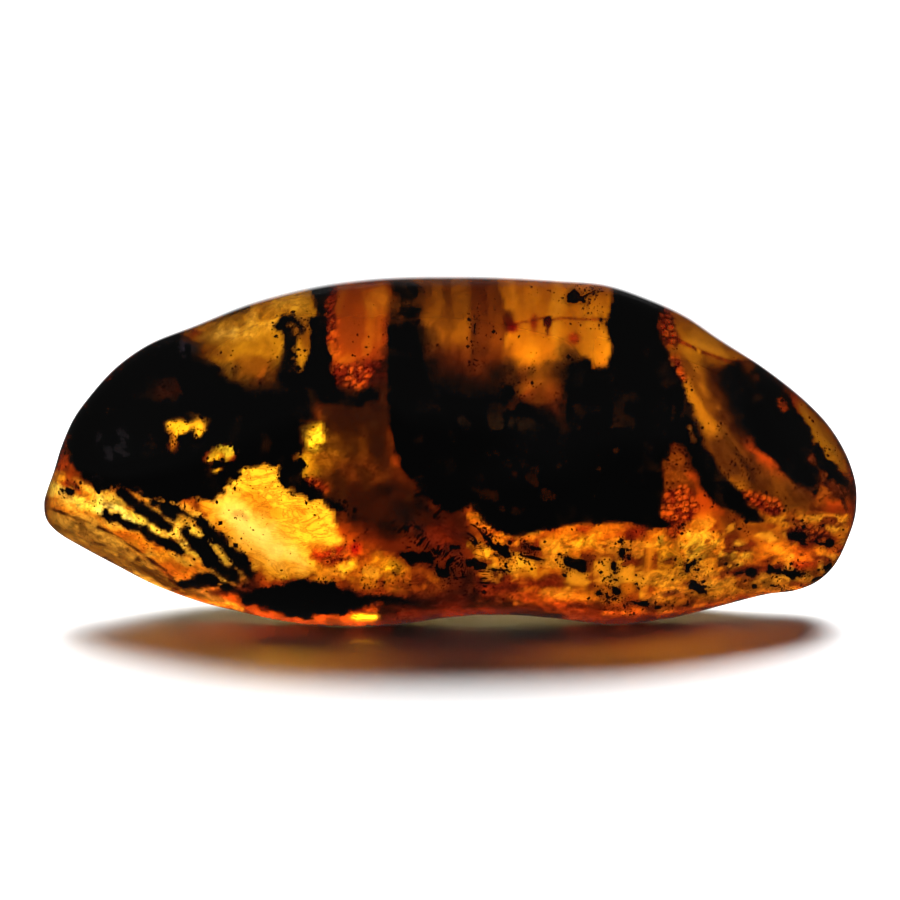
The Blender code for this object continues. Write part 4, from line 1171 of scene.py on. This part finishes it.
def resin_material():
    """Clear golden resin: plain transmission, IOR and absorption, and fine noise in its tint."""
    material, tree, shader = new_material("amber")
    painted = add_node(tree, "VertexColor", {}, layer_name="tint").outputs["Color"]
    texture = add_node(tree, "VertexColor", {}, layer_name="texture").outputs["Color"]
    place = add_node(tree, "TexCoord", {}).outputs["Object"]
    share = add_node(tree, "SeparateColor", {"Color": texture})
    for channel, (scale, squeeze, turn, distortion, stops) in FINE_TEXTURES.items():
        placing = {"Vector": place, "Rotation": (0, math.radians(turn), 0), "Scale": (squeeze, 1, 1)}
        mapped = add_node(tree, "Mapping", placing).outputs["Vector"]
        grain = add_node(tree, "TexNoise", {"Vector": mapped, "Scale": scale, "Distortion": distortion, **FINE_NOISE})
        stain = add_ramp(tree, grain.outputs["Fac"], stops)
        both = {"Factor": share.outputs[channel], "A": painted, "B": stain}
        painted = add_node(tree, "Mix", both, data_type="RGBA", blend_type="MULTIPLY").outputs["Result"]
    rough = add_node(tree, "Attribute", {}, attribute_name="roughness").outputs["Fac"]
    set_inputs(tree, shader, {
        "Base Color": painted, "Roughness": rough, "IOR": AMBER_IOR, "Transmission Weight": 1.0,
        "Coat Weight": 1.0, "Coat Roughness": COAT_ROUGHNESS, "Coat IOR": AMBER_IOR,
    })
    absorption = add_node(tree, "VolumeAbsorption", {"Color": ABSORPTION_COLOUR, "Density": ABSORPTION_DENSITY})
    tree.links.new(absorption.outputs["Volume"], tree.nodes["Material Output"].inputs["Volume"])
    return material


def debris_material():
    """Matt black-brown plant debris."""
    material, tree, shader = new_material("plant_debris")
    place = add_node(tree, "TexCoord", {}).outputs["Object"]
    grain = add_node(tree, "TexNoise", {"Vector": place, **DEBRIS_NOISE}).outputs["Fac"]
    tone = add_ramp(tree, grain, DEBRIS_RAMP)
    set_inputs(tree, shader, {"Base Color": tone, "Roughness": 0.85, "Specular IOR Level": 0.1})
    return material


def crust_material():
    """Red and orange grains, each of one tone."""
    material, tree, shader = new_material("red_crust")
    tone = add_node(tree, "VertexColor", {}, layer_name="tone").outputs["Color"]
    set_inputs(tree, shader, {"Base Color": tone, "Roughness": 0.5})
    return material


def add_object(name, data):
    """Adds an object to the scene."""
    thing = bpy.data.objects.new(name, data)
    bpy.context.scene.collection.objects.link(thing)
    return thing


def add_piece(name, mesh, material):
    """Adds a mesh as a piece of the stone."""
    mesh.materials.append(material)
    piece = add_object(name, mesh)
    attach(piece, "root")
    return piece


def set_up_camera():
    """The camera at the photograph's angle."""
    data = bpy.data.cameras.new("camera")
    data.lens = CAMERA_LENS
    data.sensor_width = SENSOR
    camera = add_object("camera", data)
    back = Vector((0, -math.cos(CAMERA_ELEVATION), math.sin(CAMERA_ELEVATION)))
    camera.location = CAMERA_TARGET + CAMERA_DISTANCE * back
    camera.rotation_euler = (math.pi / 2 - CAMERA_ELEVATION, 0, 0)
    bpy.context.scene.camera = camera


def set_up_light():
    """A surround that is white to look at, with a bright rear wall to mirror, and two soft lights high behind."""
    world = bpy.data.worlds.new("studio")
    bpy.context.scene.world = world
    world.use_nodes = True
    tree = world.node_tree
    ray = add_node(tree, "LightPath", {}).outputs
    seen = add_node(tree, "Math", {0: ray["Is Camera Ray"], 1: ray["Is Transmission Ray"]}, operation="MAXIMUM")
    around = add_node(tree, "TexCoord", {}).outputs["Generated"]
    split = add_node(tree, "SeparateXYZ", {0: around}).outputs
    rear = add_node(tree, "MapRange", {
        "Value": split["Y"], "From Min": WALL_DEPTH[0], "From Max": WALL_DEPTH[1],
        "To Min": WALL_GLOW[0], "To Max": WALL_GLOW[1],
    })
    above = add_node(tree, "MapRange", {"Value": split["Z"], "From Min": WALL_RISE[0], "From Max": WALL_RISE[1]})
    wall = add_node(tree, "Math", {0: rear.outputs["Result"], 1: above.outputs["Result"]}, operation="MULTIPLY")
    mirrored = add_node(tree, "Math", {0: ray["Is Glossy Ray"], 1: wall.outputs[0]}, operation="MULTIPLY")
    faint = add_node(tree, "Math", {0: mirrored.outputs[0], 1: FAINT_GLOW}, operation="ADD")
    strength = add_node(tree, "Mix", {"Factor": seen.outputs[0], "A": faint.outputs[0], "B": 1.0}, data_type="FLOAT")
    white = {"Color": (1, 1, 1, 1), "Strength": strength.outputs["Result"]}
    set_inputs(tree, tree.nodes["Background"], white)

    for name, strength, width, tilt, aside, through in SUNS:
        sun = bpy.data.lights.new(name, "SUN")
        sun.energy = strength
        sun.angle = math.radians(width)
        lamp = add_object(name, sun)
        lamp.rotation_euler = (math.radians(-tilt), math.radians(aside), 0)
        lamp.visible_glossy = False
        lamp.visible_transmission = through


def set_up_floor():
    """A plain pale floor."""
    half, level = FLOOR_HALF, FLOOR_LEVEL
    corners = [(-half, -half, level), (half, -half, level), (half, half, level), (-half, half, level)]
    mesh = mesh_from("floor", corners, [(0, 1, 2, 3)])
    material, tree, shader = new_material("floor")
    set_inputs(tree, shader, {"Base Color": FLOOR_COLOUR, "Roughness": FLOOR_ROUGHNESS})
    mesh.materials.append(material)
    floor = add_object("floor", mesh)
    floor.visible_glossy = False


def main():
    scene = bpy.context.scene
    scene.view_settings.view_transform = "Standard"
    set_up_camera()
    set_up_light()
    set_up_floor()
    surface = resin_mesh()
    paint_resin(surface)
    resin = add_piece("amber_resin", surface, resin_material())
    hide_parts("amber_front", "amber_back")
    inside = LookInside(surface)
    debris = debris_material()
    for cloud in DEBRIS:
        piece = add_piece(cloud + "_look", debris_mesh(inside, cloud), debris)
        if cloud in CAD_CLOUDS:
            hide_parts(cloud)
    add_piece("debris_crumbs", crumb_mesh(inside), debris)
    add_piece("red_crust", crust_mesh(inside), crust_material())
    scene.cycles.max_bounces = 16
    scene.cycles.transmission_bounces = 12
    scene.cycles.glossy_bounces = 8


main()
